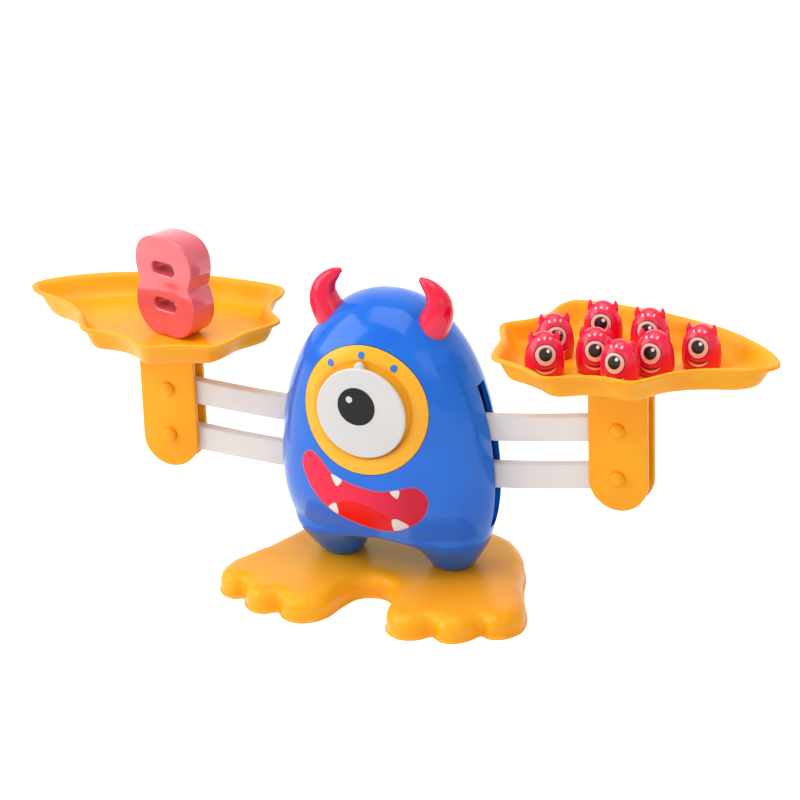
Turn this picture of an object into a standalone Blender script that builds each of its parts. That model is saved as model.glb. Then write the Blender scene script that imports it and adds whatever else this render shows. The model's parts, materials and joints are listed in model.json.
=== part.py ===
"""A number balance: a two-beam scale carried inside a horned, one-eyed toy monster.

Lengths are metres. +X points to the right pan, -Y is the side of the face and +Z is up. The origin is
on the surface that the base stands on, under the middle of the body, in the plane of the beams.
"""

import math

import bmesh
import bpy
from mathutils import Matrix, Vector

MM = 0.001
FIT = 0.3 * MM

# Base plate with its two feet
BASE_HEIGHT = 12.0 * MM
BASE_ROUND = 4.5 * MM
BASE_WALL = 2.4 * MM
COVER_THICK = 2.0 * MM
COVER_LEDGE = 1.5 * MM
COVER_PAD = 3.9 * MM
COVER_SINK = 2.4 * MM
COVER_SCREW_PLACES = [(46 * MM, -30 * MM), (34 * MM, 34 * MM)]
TOE_OUTLINE = [
    (0, -24), (9, -28), (13, -39), (15, -51), (20, -59), (28, -62.5), (36, -60), (41, -54.5),
    (47, -58.5), (54, -58), (60, -52.5), (63.5, -46), (69, -48), (76.5, -44.5), (81, -35), (78.5, -22),
    (72, -8.5), (66.5, 5), (62.5, 18.5), (56.5, 31), (48, 40.5), (37.5, 47), (22, 51), (0, 52.5),
]

# Body: each row is height over the sole, half width, half depth, inner edge of the leg and middle of the depth
BODY_ROWS = [
    (0.0, 39.4, 9.9, 20.6, 3.0), (1.3, 40.8, 11.3, 19.2, 3.0), (5.7, 44.0, 14.0, 16.8, 2.4),
    (11.2, 47.6, 17.4, 13.2, 1.4), (15.2, 49.6, 20.2, 8.0, 0.6), (17.3, 50.4, 21.6, 2.0, 0.2),
    (18.9, 51.1, 22.8, -7.0, -0.2), (20.5, 51.7, 23.9, -21.0, -0.5), (22.3, 52.3, 25.0, -38.0, -0.7),
    (24.5, 52.9, 26.2, -52.9, -0.9), (30.7, 54.5, 29.2, -54.5, -1.1), (39.7, 55.8, 32.2, -55.8, -1.3),
    (51.7, 56.3, 33.7, -56.3, -1.5), (64.7, 55.6, 34.1, -55.6, -1.5), (78.7, 53.8, 34.2, -53.8, -1.5),
    (91.7, 51.0, 34.0, -51.0, -1.5), (102.7, 47.4, 33.2, -47.4, -1.5), (112.7, 42.8, 31.5, -42.8, -1.5),
    (121.2, 37.5, 28.8, -37.5, -1.5), (128.7, 31.4, 25.0, -31.4, -1.3), (134.7, 25.1, 20.7, -25.1, -1.0),
    (139.1, 18.3, 15.7, -18.3, -0.8), (141.9, 9.2, 8.2, -9.2, -0.5),
]
BODY_SIDES = 28
BODY_SQUARENESS = 2.2
BODY_WALL = 2.6 * MM
CAVITY_DETAIL = 0.4
PARTING_GAP = 0.15 * MM
FACE_LIMIT = -8.0 * MM

# Beams and the linkage
PIVOT_RISE = 92.7 * MM
LINK_SPACING = 25.0 * MM
ARM_LENGTH = 120.0 * MM
PIN_DROP = 9.8 * MM
ARM_CURVE_RADIUS = 856.0 * MM
BEAM_DEPTH = 13.0 * MM
BEAM_THICK = 6.0 * MM
CRANK_HALF_WIDTH = 34.0 * MM
HUB_RADIUS = 8.0 * MM
TILT_LIMIT = math.radians(12.0)
REST_TILT = math.radians(2.4)
SHAFT_RADIUS = 3.0 * MM
BUSH_WALL = 1.8 * MM
BUSH_LENGTH = 10.0 * MM
BOSS_WALL = 2.4 * MM
HUB_END_GAP = 0.7 * MM
SLOT_SIDE_GAP = 1.5 * MM
SLOT_RISE = 8.0 * MM
SLOT_DROP = 42.0 * MM
SHAFT_TAIL = 5.0 * MM
SHAFT_END_GAP = 1.0 * MM
SHAFT_LET_IN = 0.6 * MM
STOP_RADIUS = 3.0 * MM
STOP_REACH = 37.5 * MM

# Stems that carry the pans
STEM_WIDTH = 30.0 * MM
STEM_PLATE = 2.7 * MM
STEM_SIDE_GAP = 0.6 * MM
STEM_TAIL_DROP = 2.2 * MM
PIN_RADIUS = 2.4 * MM
PIN_HEAD_RADIUS = 3.8 * MM
PIN_HEAD_RISE = 2.8 * MM
PIN_BACK_RISE = 1.4 * MM
PLUG_WIDTH = 24.0 * MM
PLUG_HEIGHT = 18.0 * MM
PLUG_GAP = 6.3 * MM

# Pans
PAN_DEPTH = 12.5 * MM
PAN_WALL = 1.9 * MM
PAN_OUTLINE = [
    (80, 1), (73, -7.8), (59.5, -12.7), (47.5, -18.4), (37.5, -26.3), (30.5, -36.5), (23, -44.3), (9, -43.4),
    (-4, -47.2), (-16.5, -54.2), (-28, -47.9), (-39.5, -43.4), (-49.3, -40), (-53.2, -29), (-55, -18),
    (-61, -6.2), (-62.8, 2.5), (-53, 11.5), (-47.4, 22), (-47.2, 34.5), (-40.5, 44.3), (-17, 45.1),
    (5, 43.4), (23, 39.5), (41, 34.1), (59, 24.2), (73, 12.8),
]
PAN_TURN = math.radians(-3.5)
PAN_PROFILE = [(0.85, 0.0), (0.885, 0.13), (0.95, 0.88), (1.0, 1.0)]

# Eye
EYE_RADIUS = 23.2 * MM
EYE_PROUD = 1.0 * MM
EYE_THICK = 5.2 * MM
EYE_EDGE = 0.8 * MM
EYE_LIP = 1.6 * MM
EYE_BACK_RADIUS = 20.4 * MM
EYE_DOME = 0.5 * MM
POINTER_WIDTH = 5.0 * MM
POINTER_RISE = 2.6 * MM
POINTER_INSET = 1.0 * MM
PUPIL_RADIUS = 9.75 * MM
PUPIL_PLACE = (-1.8 * MM, 3.75 * MM)
PUPIL_THICK = 1.0 * MM
GLINT_RADIUS = 1.7 * MM
GLINT_THICK = 0.8 * MM
GLINT_PLACE = (-3.4 * MM, 3.5 * MM)
WELL_CLEARANCE = 0.6 * MM
WELL_WALL = 2.2 * MM
RING_WIDTH = 8.6 * MM
RING_THICK = 1.1 * MM
RING_PROUD = 0.3 * MM
INDEX_DOT_RADIUS = 1.7 * MM
INDEX_DOT_PROUD = 0.2 * MM
INDEX_STEP = math.radians(36.0)
INDEX_TURN = math.radians(-2.0)

# Mouth print: a lopsided grin drawn on the front view, as x and height over the sole
MOUTH_OUTLINE = [
    (-31, 66.7), (-35, 61.2), (-33.5, 53.2), (-28.5, 44.7), (-21, 37.7), (-11.5, 32.5), (1, 29.0),
    (13, 29.2), (23, 33.7), (30, 41.2), (31, 48.7), (25.5, 54.5), (16.5, 53.5), (5.5, 51.7), (-6.5, 53.5),
    (-17.5, 57.5), (-25, 64.7),
]
PRINT_THICK = 0.5 * MM

# Horns, as x, height over the sole and radius along the middle line of the right horn
HORN_LINE = [
    (24.5, 126.2, 8.2), (27.6, 131.7, 8.2), (30, 137.7, 7.5), (30.1, 143.4, 6.3), (27.7, 148.3, 4.6),
    (24.2, 151.7, 3.1), (21.8, 153.4, 1.7),
]
HORN_SET_BACK = -7.0 * MM
HORN_PEG_RADIUS = 2.5 * MM
HORN_PEG_RISE = 115.7 * MM
HORN_PEG_GRIP = 2.0 * MM
HORN_PEG_END_GAP = 2.0 * MM
HORN_PEG_X = 24.5 * MM

# Fastenings
SCREW_RADIUS = 1.25 * MM
SCREW_HEAD_RADIUS = 2.8 * MM
SCREW_HEAD_THICK = 1.8 * MM
SCREW_POST_RADIUS = 4.2 * MM
SHELL_SCREW_PLACES = [(20.0 * MM, 120.7 * MM), (35.0 * MM, 24.7 * MM)]
SHELL_SCREW_REACH = 12.0 * MM
SHELL_SCREW_SEAT = 13.0 * MM
LEG_SCREW_PLACE = (30.0 * MM, 7.2 * MM)
LEG_POST_RISE = 14.7 * MM
SCREW_TIP_GAP = 1.0 * MM
SCREW_TIP_LENGTH = 1.5 * MM
POST_HOLE_COVER = 2.0 * MM
EYE_SCREW_LENGTH = 12.0 * MM

# Number block
BLOCK_THICK = 15.5 * MM
BLOCK_ROUND = 1.6 * MM
BLOCK_OUTLINE = [
    (0, 0), (7.7, 0.1), (14.4, 3.7), (18.6, 10.2), (19.4, 16.7), (18.1, 23.2), (16.6, 26.6), (17.6, 30.4),
    (18.8, 36.7), (17.3, 44.6), (11.6, 50.1), (0, 52),
]
BLOCK_SLOT_WIDTH = 14.8 * MM
BLOCK_SLOT_HEIGHT = 6.2 * MM
BLOCK_SLOTS = (16.6 * MM, 35.4 * MM)
BLOCK_PLACE = (8.5 * MM, -8.1 * MM)
BLOCK_TURN = math.radians(-17.0)
BLOCK_POCKET = (22.0 * MM, 2.6 * MM, 8.0 * MM)
BLOCK_POCKET_HEIGHT = 26.0 * MM
BLOCK_FOOT_CUT = 0.15 * MM

# Counters: place on the right pan in counter radii, measured from its stem, and turn in degrees
COUNTER_RADIUS = 9.5 * MM
COUNTER_FLATNESS = 0.88
COUNTER_HEIGHT = 21.4 * MM
COUNTER_HORN_REACH = 0.56
COUNTER_HORN_BASE = 0.74
COUNTER_HORN_LENGTH = 6.1 * MM
COUNTER_HORN_RADIUS = 2.0 * MM
COUNTER_HORN_TIP = 0.7 * MM
COUNTER_HORN_LEAN = math.radians(7.0)
COUNTER_BORE = (5.2 * MM, 12.0 * MM)
COUNTER_PLACES = [
    (-3.11, -2.58, 25), (-3.48, -0.19, 29), (-0.88, -1.28, 18), (-1.74, 2.22, 11), (0.80, -2.42, -3),
    (2.01, -0.70, 2), (0.84, 2.02, 8), (3.97, 0.76, 4),
]
COUNTER_SIDES = 12

SOLE = BASE_HEIGHT + FIT
PIVOT_HEIGHT = SOLE + PIVOT_RISE
UPPER_PIVOT = Vector((0.0, 0.0, PIVOT_HEIGHT))
LOWER_PIVOT = Vector((0.0, 0.0, PIVOT_HEIGHT - LINK_SPACING))
SLOT_WIDTH = BEAM_THICK + 2 * SLOT_SIDE_GAP
PIN_HEIGHT = PIVOT_HEIGHT - PIN_DROP
PLUG_LOW = PIN_HEIGHT + BEAM_DEPTH / 2 + PLUG_GAP
PAN_LOW = PLUG_LOW + PLUG_HEIGHT
PAN_FLOOR = PAN_LOW + PAN_WALL
STEM_GAP = BEAM_THICK + 2 * STEM_SIDE_GAP
STEM_DEPTH = STEM_GAP + 2 * STEM_PLATE
BUSH_RADIUS = SHAFT_RADIUS + FIT + BUSH_WALL
BOSS_RADIUS = BUSH_RADIUS + FIT + BOSS_WALL
BOSS_START = BEAM_THICK / 2 + HUB_END_GAP
BOSS_FLOOR = BOSS_START + BUSH_LENGTH
BODY_FRONT = min(middle - depth for _, _, depth, _, middle in BODY_ROWS) * MM
EYE_FRONT = BODY_FRONT - EYE_PROUD
EYE_BACK = EYE_FRONT + EYE_THICK
PUPIL_BACK = EYE_FRONT + PUPIL_THICK
EYE_SCREW_SEAT = PUPIL_BACK + FIT + SCREW_HEAD_THICK
WELL_RADIUS = EYE_RADIUS + WELL_CLEARANCE
WELL_FLOOR = EYE_BACK + FIT
RING_RADIUS = WELL_RADIUS + RING_WIDTH
INDEX_RADIUS = (WELL_RADIUS + RING_RADIUS) / 2
HORN_PEG_LOW = SOLE + HORN_PEG_RISE
HORN_PEG_TOP = SOLE + HORN_LINE[1][1] * MM + HORN_PEG_GRIP
LEG_POST_TOP = SOLE + LEG_POST_RISE
SIDE_CUT = STOP_REACH + 2 * STOP_RADIUS
FAR = ARM_LENGTH + PIVOT_HEIGHT

PARTS = bpy.data.collections.new("number_balance")
CUTTERS = bpy.data.collections.new("cutters")


def clear_scene():
    """Remove whatever the scene holds and link the two collections."""
    for obj in list(bpy.data.objects):
        bpy.data.objects.remove(obj, do_unlink=True)
    bpy.context.scene.collection.children.link(PARTS)
    bpy.context.scene.collection.children.link(CUTTERS)


def plastic(name, colour, roughness, metallic=0.0):
    """A Principled material of one colour."""
    material = bpy.data.materials.new(name)
    material.use_nodes = True
    shader = material.node_tree.nodes["Principled BSDF"]
    shader.inputs["Base Color"].default_value = (*colour, 1.0)
    shader.inputs["Roughness"].default_value = roughness
    shader.inputs["Metallic"].default_value = metallic
    material.diffuse_color = (*colour, 1.0)
    return material


ORANGE = plastic("orange_plastic", (0.98, 0.38, 0.02), 0.35)
BLUE = plastic("blue_plastic", (0.016, 0.17, 0.77), 0.15)
YELLOW = plastic("yellow_plastic", (1.0, 0.47, 0.03), 0.3)
RED = plastic("red_plastic", (0.87, 0.012, 0.07), 0.2)
WHITE = plastic("white_plastic", (0.79, 0.76, 0.74), 0.4)
BLACK = plastic("black_plastic", (0.02, 0.02, 0.02), 0.4)
PRINT = plastic("mouth_print", (0.83, 0.03, 0.08), 0.3)
PINK = plastic("pink_plastic", (1.0, 0.24, 0.26), 0.15)
COUNTER_RED = plastic("counter_red", (0.91, 0.007, 0.06), 0.15)
STEEL = plastic("steel", (0.55, 0.55, 0.56), 0.3, 1.0)


def new_object(name, mesh):
    """An object of a mesh, kept with the cutters until it is dressed as a part."""
    obj = bpy.data.objects.new(name, mesh)
    obj.hide_render = True
    obj.display_type = "WIRE"
    CUTTERS.objects.link(obj)
    return obj


def from_bmesh(name, bm):
    """An object from a bmesh whose faces are turned outwards."""
    bmesh.ops.remove_doubles(bm, verts=bm.verts, dist=0.002 * MM)
    bmesh.ops.recalc_face_normals(bm, faces=bm.faces)
    mesh = bpy.data.meshes.new(name)
    bm.to_mesh(mesh)
    bm.free()
    return new_object(name, mesh)


def settled(obj):
    """The object as one plain mesh, with its curve or modifiers worked out."""
    bpy.context.view_layer.update()
    evaluated = obj.evaluated_get(bpy.context.evaluated_depsgraph_get())
    mesh = bpy.data.meshes.new_from_object(evaluated)
    name = obj.name
    matrix = obj.matrix_world.copy()
    bpy.data.objects.remove(obj, do_unlink=True)
    bm = bmesh.new()
    bm.from_mesh(mesh)
    bmesh.ops.remove_doubles(bm, verts=bm.verts, dist=0.002 * MM)
    bm.to_mesh(mesh)
    bm.free()
    mesh.transform(matrix)
    mesh.name = name
    return new_object(name, mesh)


def copied(obj, name):
    """A second object with a mesh of its own."""
    return new_object(name, obj.data.copy())


def moved(obj, matrix):
    """The object with a matrix worked into its mesh."""
    obj.data.transform(matrix)
    if matrix.is_negative:
        obj.data.flip_normals()
    return obj


def mirrored(obj, name):
    """A mirror image across the middle of the balance."""
    return moved(copied(obj, name), Matrix.Scale(-1, 4, Vector((1, 0, 0))))


def combine(obj, other, operation):
    """Boolean of two solids, worked out at once."""
    modifier = obj.modifiers.new(operation.lower(), "BOOLEAN")
    modifier.operation = operation
    modifier.object = other
    return settled(obj)


def cut(obj, *cutters):
    """The object without the cutters."""
    for cutter in cutters:
        obj = combine(obj, cutter, "DIFFERENCE")
    return obj


def fused(obj, *others):
    """The object joined with the others into one body."""
    for other in others:
        obj = combine(obj, other, "UNION")
    return obj


def within(obj, region):
    """The share of the object that lies in a region."""
    return combine(obj, region, "INTERSECT")


def box(name, low, high):
    """A box between two corners."""
    low, high = Vector(low), Vector(high)
    bm = bmesh.new()
    bmesh.ops.create_cube(bm, size=1.0)
    bmesh.ops.scale(bm, vec=high - low, verts=bm.verts)
    bmesh.ops.translate(bm, vec=(low + high) / 2, verts=bm.verts)
    return from_bmesh(name, bm)


AXIS_TURNS = {
    "Z": Matrix.Identity(4),
    "Y": Matrix.Rotation(math.radians(-90), 4, "X"),
    "X": Matrix.Rotation(math.radians(90), 4, "Y"),
}


def rod(name, start, length, radius, axis="Y", sides=16):
    """A round rod from a point along an axis."""
    bm = bmesh.new()
    bmesh.ops.create_cone(bm, cap_ends=True, segments=sides, radius1=radius, radius2=radius, depth=length)
    bmesh.ops.translate(bm, vec=(0, 0, length / 2), verts=bm.verts)
    bmesh.ops.transform(bm, matrix=Matrix.Translation(start) @ AXIS_TURNS[axis], verts=bm.verts)
    return from_bmesh(name, bm)


def turned(name, profile, start, axis="Y", sides=16):
    """A turned solid: radius and distance along the axis, from the far end back to the start."""
    mesh = bpy.data.meshes.new(name)
    points = [(radius, 0.0, height) for radius, height in profile]
    mesh.from_pydata(points, [(i, i + 1) for i in range(len(points) - 1)], [])
    obj = new_object(name, mesh)
    screw = obj.modifiers.new("turn", "SCREW")
    screw.steps = sides
    screw.render_steps = sides
    screw.use_merge_vertices = True
    screw.merge_threshold = 0.01 * MM
    return moved(settled(obj), Matrix.Translation(start) @ AXIS_TURNS[axis])


def smooth_loop(points, steps):
    """A closed smooth loop through points in millimetres, as 2D vectors in metres."""
    loop = []
    count = len(points)
    for i in range(count):
        a, b, c, d = (Vector(points[(i + k) % count]) * MM for k in (-1, 0, 1, 2))
        for k in range(steps):
            t = k / steps
            loop.append(
                0.5 * (2 * b + (c - a) * t + (2 * a - 5 * b + 4 * c - d) * t * t
                       + (3 * b - a - 3 * c + d) * t ** 3)
            )
    return loop


def both_sides(half):
    """The whole outline from its right half, whose first and last points are on the middle line."""
    return half + [(-x, y) for x, y in reversed(half[1:-1])]


def inset(loop, distance):
    """A closed loop moved inwards by a distance."""
    area = sum(a.x * b.y - b.x * a.y for a, b in zip(loop, loop[1:] + loop[:1]))
    side = math.copysign(1.0, area)
    result = []
    for i, point in enumerate(loop):
        along = (loop[(i + 1) % len(loop)] - loop[i - 1]).normalized()
        result.append(point + Vector((-along.y, along.x)) * distance * side)
    return result


def plate(name, loop, low, high, rounding=0.0, steps=2, upright=False):
    """A flat plate with an outline, upright ones facing the front, with its edges rounded if asked."""
    curve = bpy.data.curves.new(name, "CURVE")
    curve.dimensions = "2D"
    curve.fill_mode = "BOTH"
    curve.extrude = (high - low) / 2 - rounding
    curve.bevel_depth = rounding
    curve.bevel_resolution = steps
    spline = curve.splines.new("POLY")
    spline.use_cyclic_u = True
    outline = inset(loop, rounding) if rounding else loop
    spline.points.add(len(outline) - 1)
    for point, place in zip(spline.points, outline):
        point.co = (place.x, place.y, 0.0, 1.0)
    obj = bpy.data.objects.new(name, curve)
    CUTTERS.objects.link(obj)
    if upright:
        obj.matrix_world = Matrix.Translation((0, (low + high) / 2, 0)) @ Matrix.Rotation(math.radians(90), 4, "X")
    else:
        obj.matrix_world = Matrix.Translation((0, 0, (low + high) / 2))
    return settled(obj)


def lofted(name, rings, cap_first=True, cap_last=True):
    """A skin through closed rings of equal point counts."""
    bm = bmesh.new()
    rows = [[bm.verts.new(point) for point in ring] for ring in rings]
    for low, high in zip(rows, rows[1:]):
        for i in range(len(low)):
            j = (i + 1) % len(low)
            bm.faces.new((low[i], low[j], high[j], high[i]))
    if cap_first:
        bm.faces.new(reversed(rows[0]))
    if cap_last:
        bm.faces.new(rows[-1])
    return from_bmesh(name, bm)


def dressed(obj, material):
    """Show a finished solid as a part, shaded smooth but for its hard edges."""
    obj.hide_render = False
    obj.display_type = "TEXTURED"
    CUTTERS.objects.unlink(obj)
    PARTS.objects.link(obj)
    if not obj.data.materials:
        obj.data.materials.append(material)
        obj.data.shade_smooth()
        obj.data.set_sharp_from_angle(angle=math.radians(35))
    return obj


def joint_empty(name, place):
    """An empty on a joint's axis, which carries the pieces that the joint moves."""
    empty = bpy.data.objects.new(name, None)
    empty.location = place
    empty.empty_display_size = HUB_RADIUS
    PARTS.objects.link(empty)
    return empty


def carried(empty, pieces):
    """Hang pieces on an empty without moving them."""
    for piece in pieces:
        piece.parent = empty
        piece.matrix_parent_inverse = Matrix.Translation(-empty.location)


def body_form():
    """The outer form of the body: an egg that divides into two legs, symmetric left and right."""
    power = 2 / BODY_SQUARENESS
    rings = []
    for height, outer, depth, inner, middle in BODY_ROWS:
        ring = []
        for k in range(BODY_SIDES):
            turn = math.tau * k / BODY_SIDES
            across = math.copysign(abs(math.cos(turn)) ** power, math.cos(turn))
            along = math.copysign(abs(math.sin(turn)) ** power, math.sin(turn))
            x = (outer + inner) / 2 + (outer - inner) / 2 * across
            ring.append(Vector((x, middle + depth * along, height)) * MM + Vector((0, 0, SOLE)))
        rings.append(ring)
    form = lofted("body_form", rings)
    mirror = form.modifiers.new("halves", "MIRROR")
    mirror.use_bisect_axis[0] = True
    mirror.bisect_threshold = 0.001 * MM
    mirror.merge_threshold = 0.01 * MM
    return settled(form)


def grown(obj, name, distance):
    """A copy of a form with its surface moved out, or in where the distance is negative."""
    copy = copied(obj, name)
    displace = copy.modifiers.new("grow", "DISPLACE")
    displace.mid_level = 0.0
    displace.strength = distance
    return settled(copy)


def simplified(obj, share):
    """The object with only a share of its triangles, the same on the left and the right."""
    decimate = obj.modifiers.new("simplify", "DECIMATE")
    decimate.ratio = share
    decimate.use_symmetry = True
    decimate.symmetry_axis = "X"
    return settled(obj)


def skin(form, name, inner, outer):
    """The layer between two offsets of a form's surface, on the side of the face."""
    layer = cut(grown(form, name, outer), grown(form, name + "_core", inner))
    return within(layer, box(name + "_front", (-FAR, -FAR, 0), (FAR, FACE_LIMIT, 2 * FAR)))


def arm_height(x):
    """Height of a beam's middle line over the line of its end pins, at a distance from the middle."""
    height = (x * x - ARM_LENGTH * ARM_LENGTH) / (2 * ARM_CURVE_RADIUS)
    if abs(x) < CRANK_HALF_WIDTH:
        crank = PIN_DROP + ARM_LENGTH * ARM_LENGTH / (2 * ARM_CURVE_RADIUS)
        height += crank * (1 + math.cos(math.pi * x / CRANK_HALF_WIDTH)) / 2
    return height


def beam_outline():
    """Outline of a beam about its own pivot: curved arms, round ends and a raised middle."""
    half = BEAM_DEPTH / 2
    stations = [ARM_LENGTH, ARM_LENGTH * 0.8, ARM_LENGTH * 0.6, ARM_LENGTH * 0.4]
    stations += [CRANK_HALF_WIDTH * k / 6 for k in range(6, -1, -1)]
    stations = stations + [-x for x in reversed(stations[:-1])]
    upper, lower = [], []
    for x in stations:
        slope = (arm_height(x + 0.01 * MM) - arm_height(x - 0.01 * MM)) / (0.02 * MM)
        normal = Vector((-slope, 1.0)).normalized() * half
        middle = Vector((x, arm_height(x) - PIN_DROP))
        upper.append(middle + normal)
        lower.append(middle - normal)
    ends = []
    for side in (-1, 1):
        pin = Vector((side * ARM_LENGTH, -PIN_DROP))
        start = math.atan2(upper[-1].y - pin.y, upper[-1].x - pin.x) if side < 0 else (
            math.atan2(lower[0].y - pin.y, lower[0].x - pin.x))
        ends.append([pin + half * Vector((math.cos(start + math.pi * k / 6), math.sin(start + math.pi * k / 6)))
                     for k in range(1, 6)])
    return upper + ends[0] + list(reversed(lower)) + ends[1]


def beam(name, pivot, hub_hole):
    """One beam with its hub, pivot hole and end holes."""
    half = BEAM_THICK / 2
    loop = [point + Vector((0, pivot.z)) for point in beam_outline()]
    body = plate(name, loop, -half, half, upright=True)
    body = fused(body, rod(name + "_hub", (0, -half, pivot.z), BEAM_THICK, HUB_RADIUS, sides=16))
    holes = [rod(name + "_bore", (0, -FAR, pivot.z), 2 * FAR, hub_hole, sides=14)]
    for side in (-1, 1):
        place = (side * ARM_LENGTH, -FAR, pivot.z - PIN_DROP)
        holes.append(rod(name + "_eye", place, 2 * FAR, PIN_RADIUS + FIT, sides=12))
    return cut(body, *holes)


def stop_height():
    """Height of a stop peg that the upper beam's top edge meets just past the tilt limit."""
    edge = Vector((STOP_REACH, arm_height(STOP_REACH) - PIN_DROP + BEAM_DEPTH / 2))
    raised = edge.x * math.sin(TILT_LIMIT) + edge.y * math.cos(TILT_LIMIT)
    return PIVOT_HEIGHT + raised + FIT + STOP_RADIUS


def screw(name, tip, length, axis, head_first=False):
    """A screw along an axis, with its head at the far end, or at the start where asked."""
    shank = [(0.0, length), (SCREW_RADIUS * 0.5, length), (SCREW_RADIUS, length - SCREW_TIP_LENGTH)]
    head = [(SCREW_RADIUS, 0.0), (SCREW_HEAD_RADIUS, 0.0), (SCREW_HEAD_RADIUS, -0.7 * SCREW_HEAD_THICK),
            (SCREW_HEAD_RADIUS * 0.8, -SCREW_HEAD_THICK), (0.0, -SCREW_HEAD_THICK)]
    piece = turned(name, shank + head, (0, 0, 0), axis="Z", sides=8)
    turn = AXIS_TURNS[axis] if head_first else AXIS_TURNS[axis] @ Matrix.Rotation(math.pi, 4, "X")
    return moved(piece, Matrix.Translation(tip) @ turn)


def make_shells(form):
    """Front and rear halves of the body, with bosses, screw posts, stops and side slots."""
    cavity = simplified(grown(form, "cavity", -BODY_WALL), CAVITY_DETAIL)
    well_back = WELL_FLOOR + WELL_WALL
    solids = [rod("well", (0, -FAR, PIVOT_HEIGHT), FAR + well_back, WELL_RADIUS + WELL_WALL, sides=20)]
    for pivot in (UPPER_PIVOT, LOWER_PIVOT):
        for side in (-1, 1):
            start = (0, -FAR if side < 0 else BOSS_START, pivot.z)
            solids.append(rod("boss", start, FAR - BOSS_START, BOSS_RADIUS, sides=14))
    for x, z in SHELL_SCREW_PLACES:
        for side in (-1, 1):
            solids.append(rod("post", (side * x, -FAR, SOLE + z), 2 * FAR, SCREW_POST_RADIUS, sides=10))
    for side in (-1, 1):
        solids.append(rod("stop", (side * STOP_REACH, -FAR, stop_height()), 2 * FAR, STOP_RADIUS, sides=10))
        x, y = LEG_SCREW_PLACE
        solids.append(rod("leg_post", (side * x, y, 0), LEG_POST_TOP, SCREW_POST_RADIUS, "Z", sides=10))
    cavity = cut(cavity, *solids)

    body = cut(copied(form, "body"), cavity)
    slot = box("slot", (-FAR, -SLOT_WIDTH / 2, LOWER_PIVOT.z - SLOT_DROP),
               (FAR, SLOT_WIDTH / 2, UPPER_PIVOT.z + SLOT_RISE))
    slot = cut(slot, box("slot_core", (-SIDE_CUT, -FAR, 0), (SIDE_CUT, FAR, 2 * FAR)))
    body = cut(body, slot)

    bores = []
    for pivot in (UPPER_PIVOT, LOWER_PIVOT):
        for side in (-1, 1):
            start = -BOSS_FLOOR if side < 0 else -PARTING_GAP
            length = BOSS_FLOOR + PARTING_GAP
            bores.append(rod("bush_seat", (0, start, pivot.z), length, BUSH_RADIUS + FIT, sides=14))
        end = BOSS_FLOOR + SHAFT_TAIL + SHAFT_END_GAP
        front_end = -FAR if pivot is UPPER_PIVOT else -end
        bores.append(rod("bore", (0, front_end, pivot.z), end - front_end, SHAFT_RADIUS + FIT, sides=12))
    for x, z in SHELL_SCREW_PLACES:
        for side in (-1, 1):
            place = Vector((side * x, -SHELL_SCREW_REACH - FIT, SOLE + z))
            bores.append(rod("screw_hole", place, SHELL_SCREW_REACH + SHELL_SCREW_SEAT + 2 * FIT,
                             SCREW_RADIUS + FIT, sides=8))
            bores.append(rod("head_hole", (side * x, SHELL_SCREW_SEAT, SOLE + z), FAR, SCREW_HEAD_RADIUS + FIT,
                             sides=10))
    for side in (-1, 1):
        x, y = LEG_SCREW_PLACE
        bores.append(rod("leg_screw_hole", (side * x, y, 0), LEG_POST_TOP - POST_HOLE_COVER, SCREW_RADIUS + FIT, "Z",
                         sides=8))
    body = cut(body, *bores)

    front = within(copied(body, "body_front_shell"), box("front_half", (-FAR, -FAR, 0), (FAR, -PARTING_GAP, 2 * FAR)))
    rear = within(body, box("rear_half", (-FAR, PARTING_GAP, 0), (FAR, FAR, 2 * FAR)))
    rear.name = "body_rear_shell"
    recess = rod("eye_well", (0, -FAR, PIVOT_HEIGHT), FAR + WELL_FLOOR, WELL_RADIUS, sides=28)
    seat = within(skin(form, "ring_seat", -RING_THICK - FIT, BODY_WALL),
                  rod("seat_edge", (0, -FAR, PIVOT_HEIGHT), FAR, RING_RADIUS + FIT, sides=32))
    front = cut(front, recess, seat)
    return front, rear


def make_eye_ring(form):
    """The ring let into the front shell round the eye, with holes for the index dots."""
    layer = skin(form, "eye_ring", -RING_THICK, RING_PROUD)
    ring = within(layer, rod("ring_edge", (0, -FAR, PIVOT_HEIGHT), FAR, RING_RADIUS, sides=32))
    ring = cut(ring, rod("ring_hole", (0, -FAR, PIVOT_HEIGHT), FAR, WELL_RADIUS + FIT, sides=28))
    return ring


def index_places():
    """Front-view places of the three index dots, on a ring that sits a little turned."""
    turns = [INDEX_TURN + step * INDEX_STEP for step in (-1, 0, 1)]
    return [(INDEX_RADIUS * math.sin(turn), PIVOT_HEIGHT + INDEX_RADIUS * math.cos(turn)) for turn in turns]


def make_index_dots(form, ring):
    """Three round dots let into the ring, and the ring with their holes."""
    dots = []
    for name, (x, z) in zip(("left", "middle", "right"), index_places()):
        layer = skin(form, "index_dot_" + name, -RING_THICK, RING_PROUD + INDEX_DOT_PROUD)
        dots.append(within(layer, rod("dot_edge", (x, -FAR, z), FAR, INDEX_DOT_RADIUS, sides=12)))
        ring = cut(ring, rod("dot_hole", (x, -FAR, z), FAR, INDEX_DOT_RADIUS + FIT / 2, sides=12))
    return dots, ring


def make_mouth(form):
    """The printed grin, a thin layer on the front of the body."""
    loop = [point + Vector((0, SOLE)) for point in smooth_loop(MOUTH_OUTLINE, 2)]
    outline = plate("mouth_outline", loop, -FAR, FACE_LIMIT, upright=True)
    return within(skin(form, "mouth_print", FIT, FIT + PRINT_THICK), outline)


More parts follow.
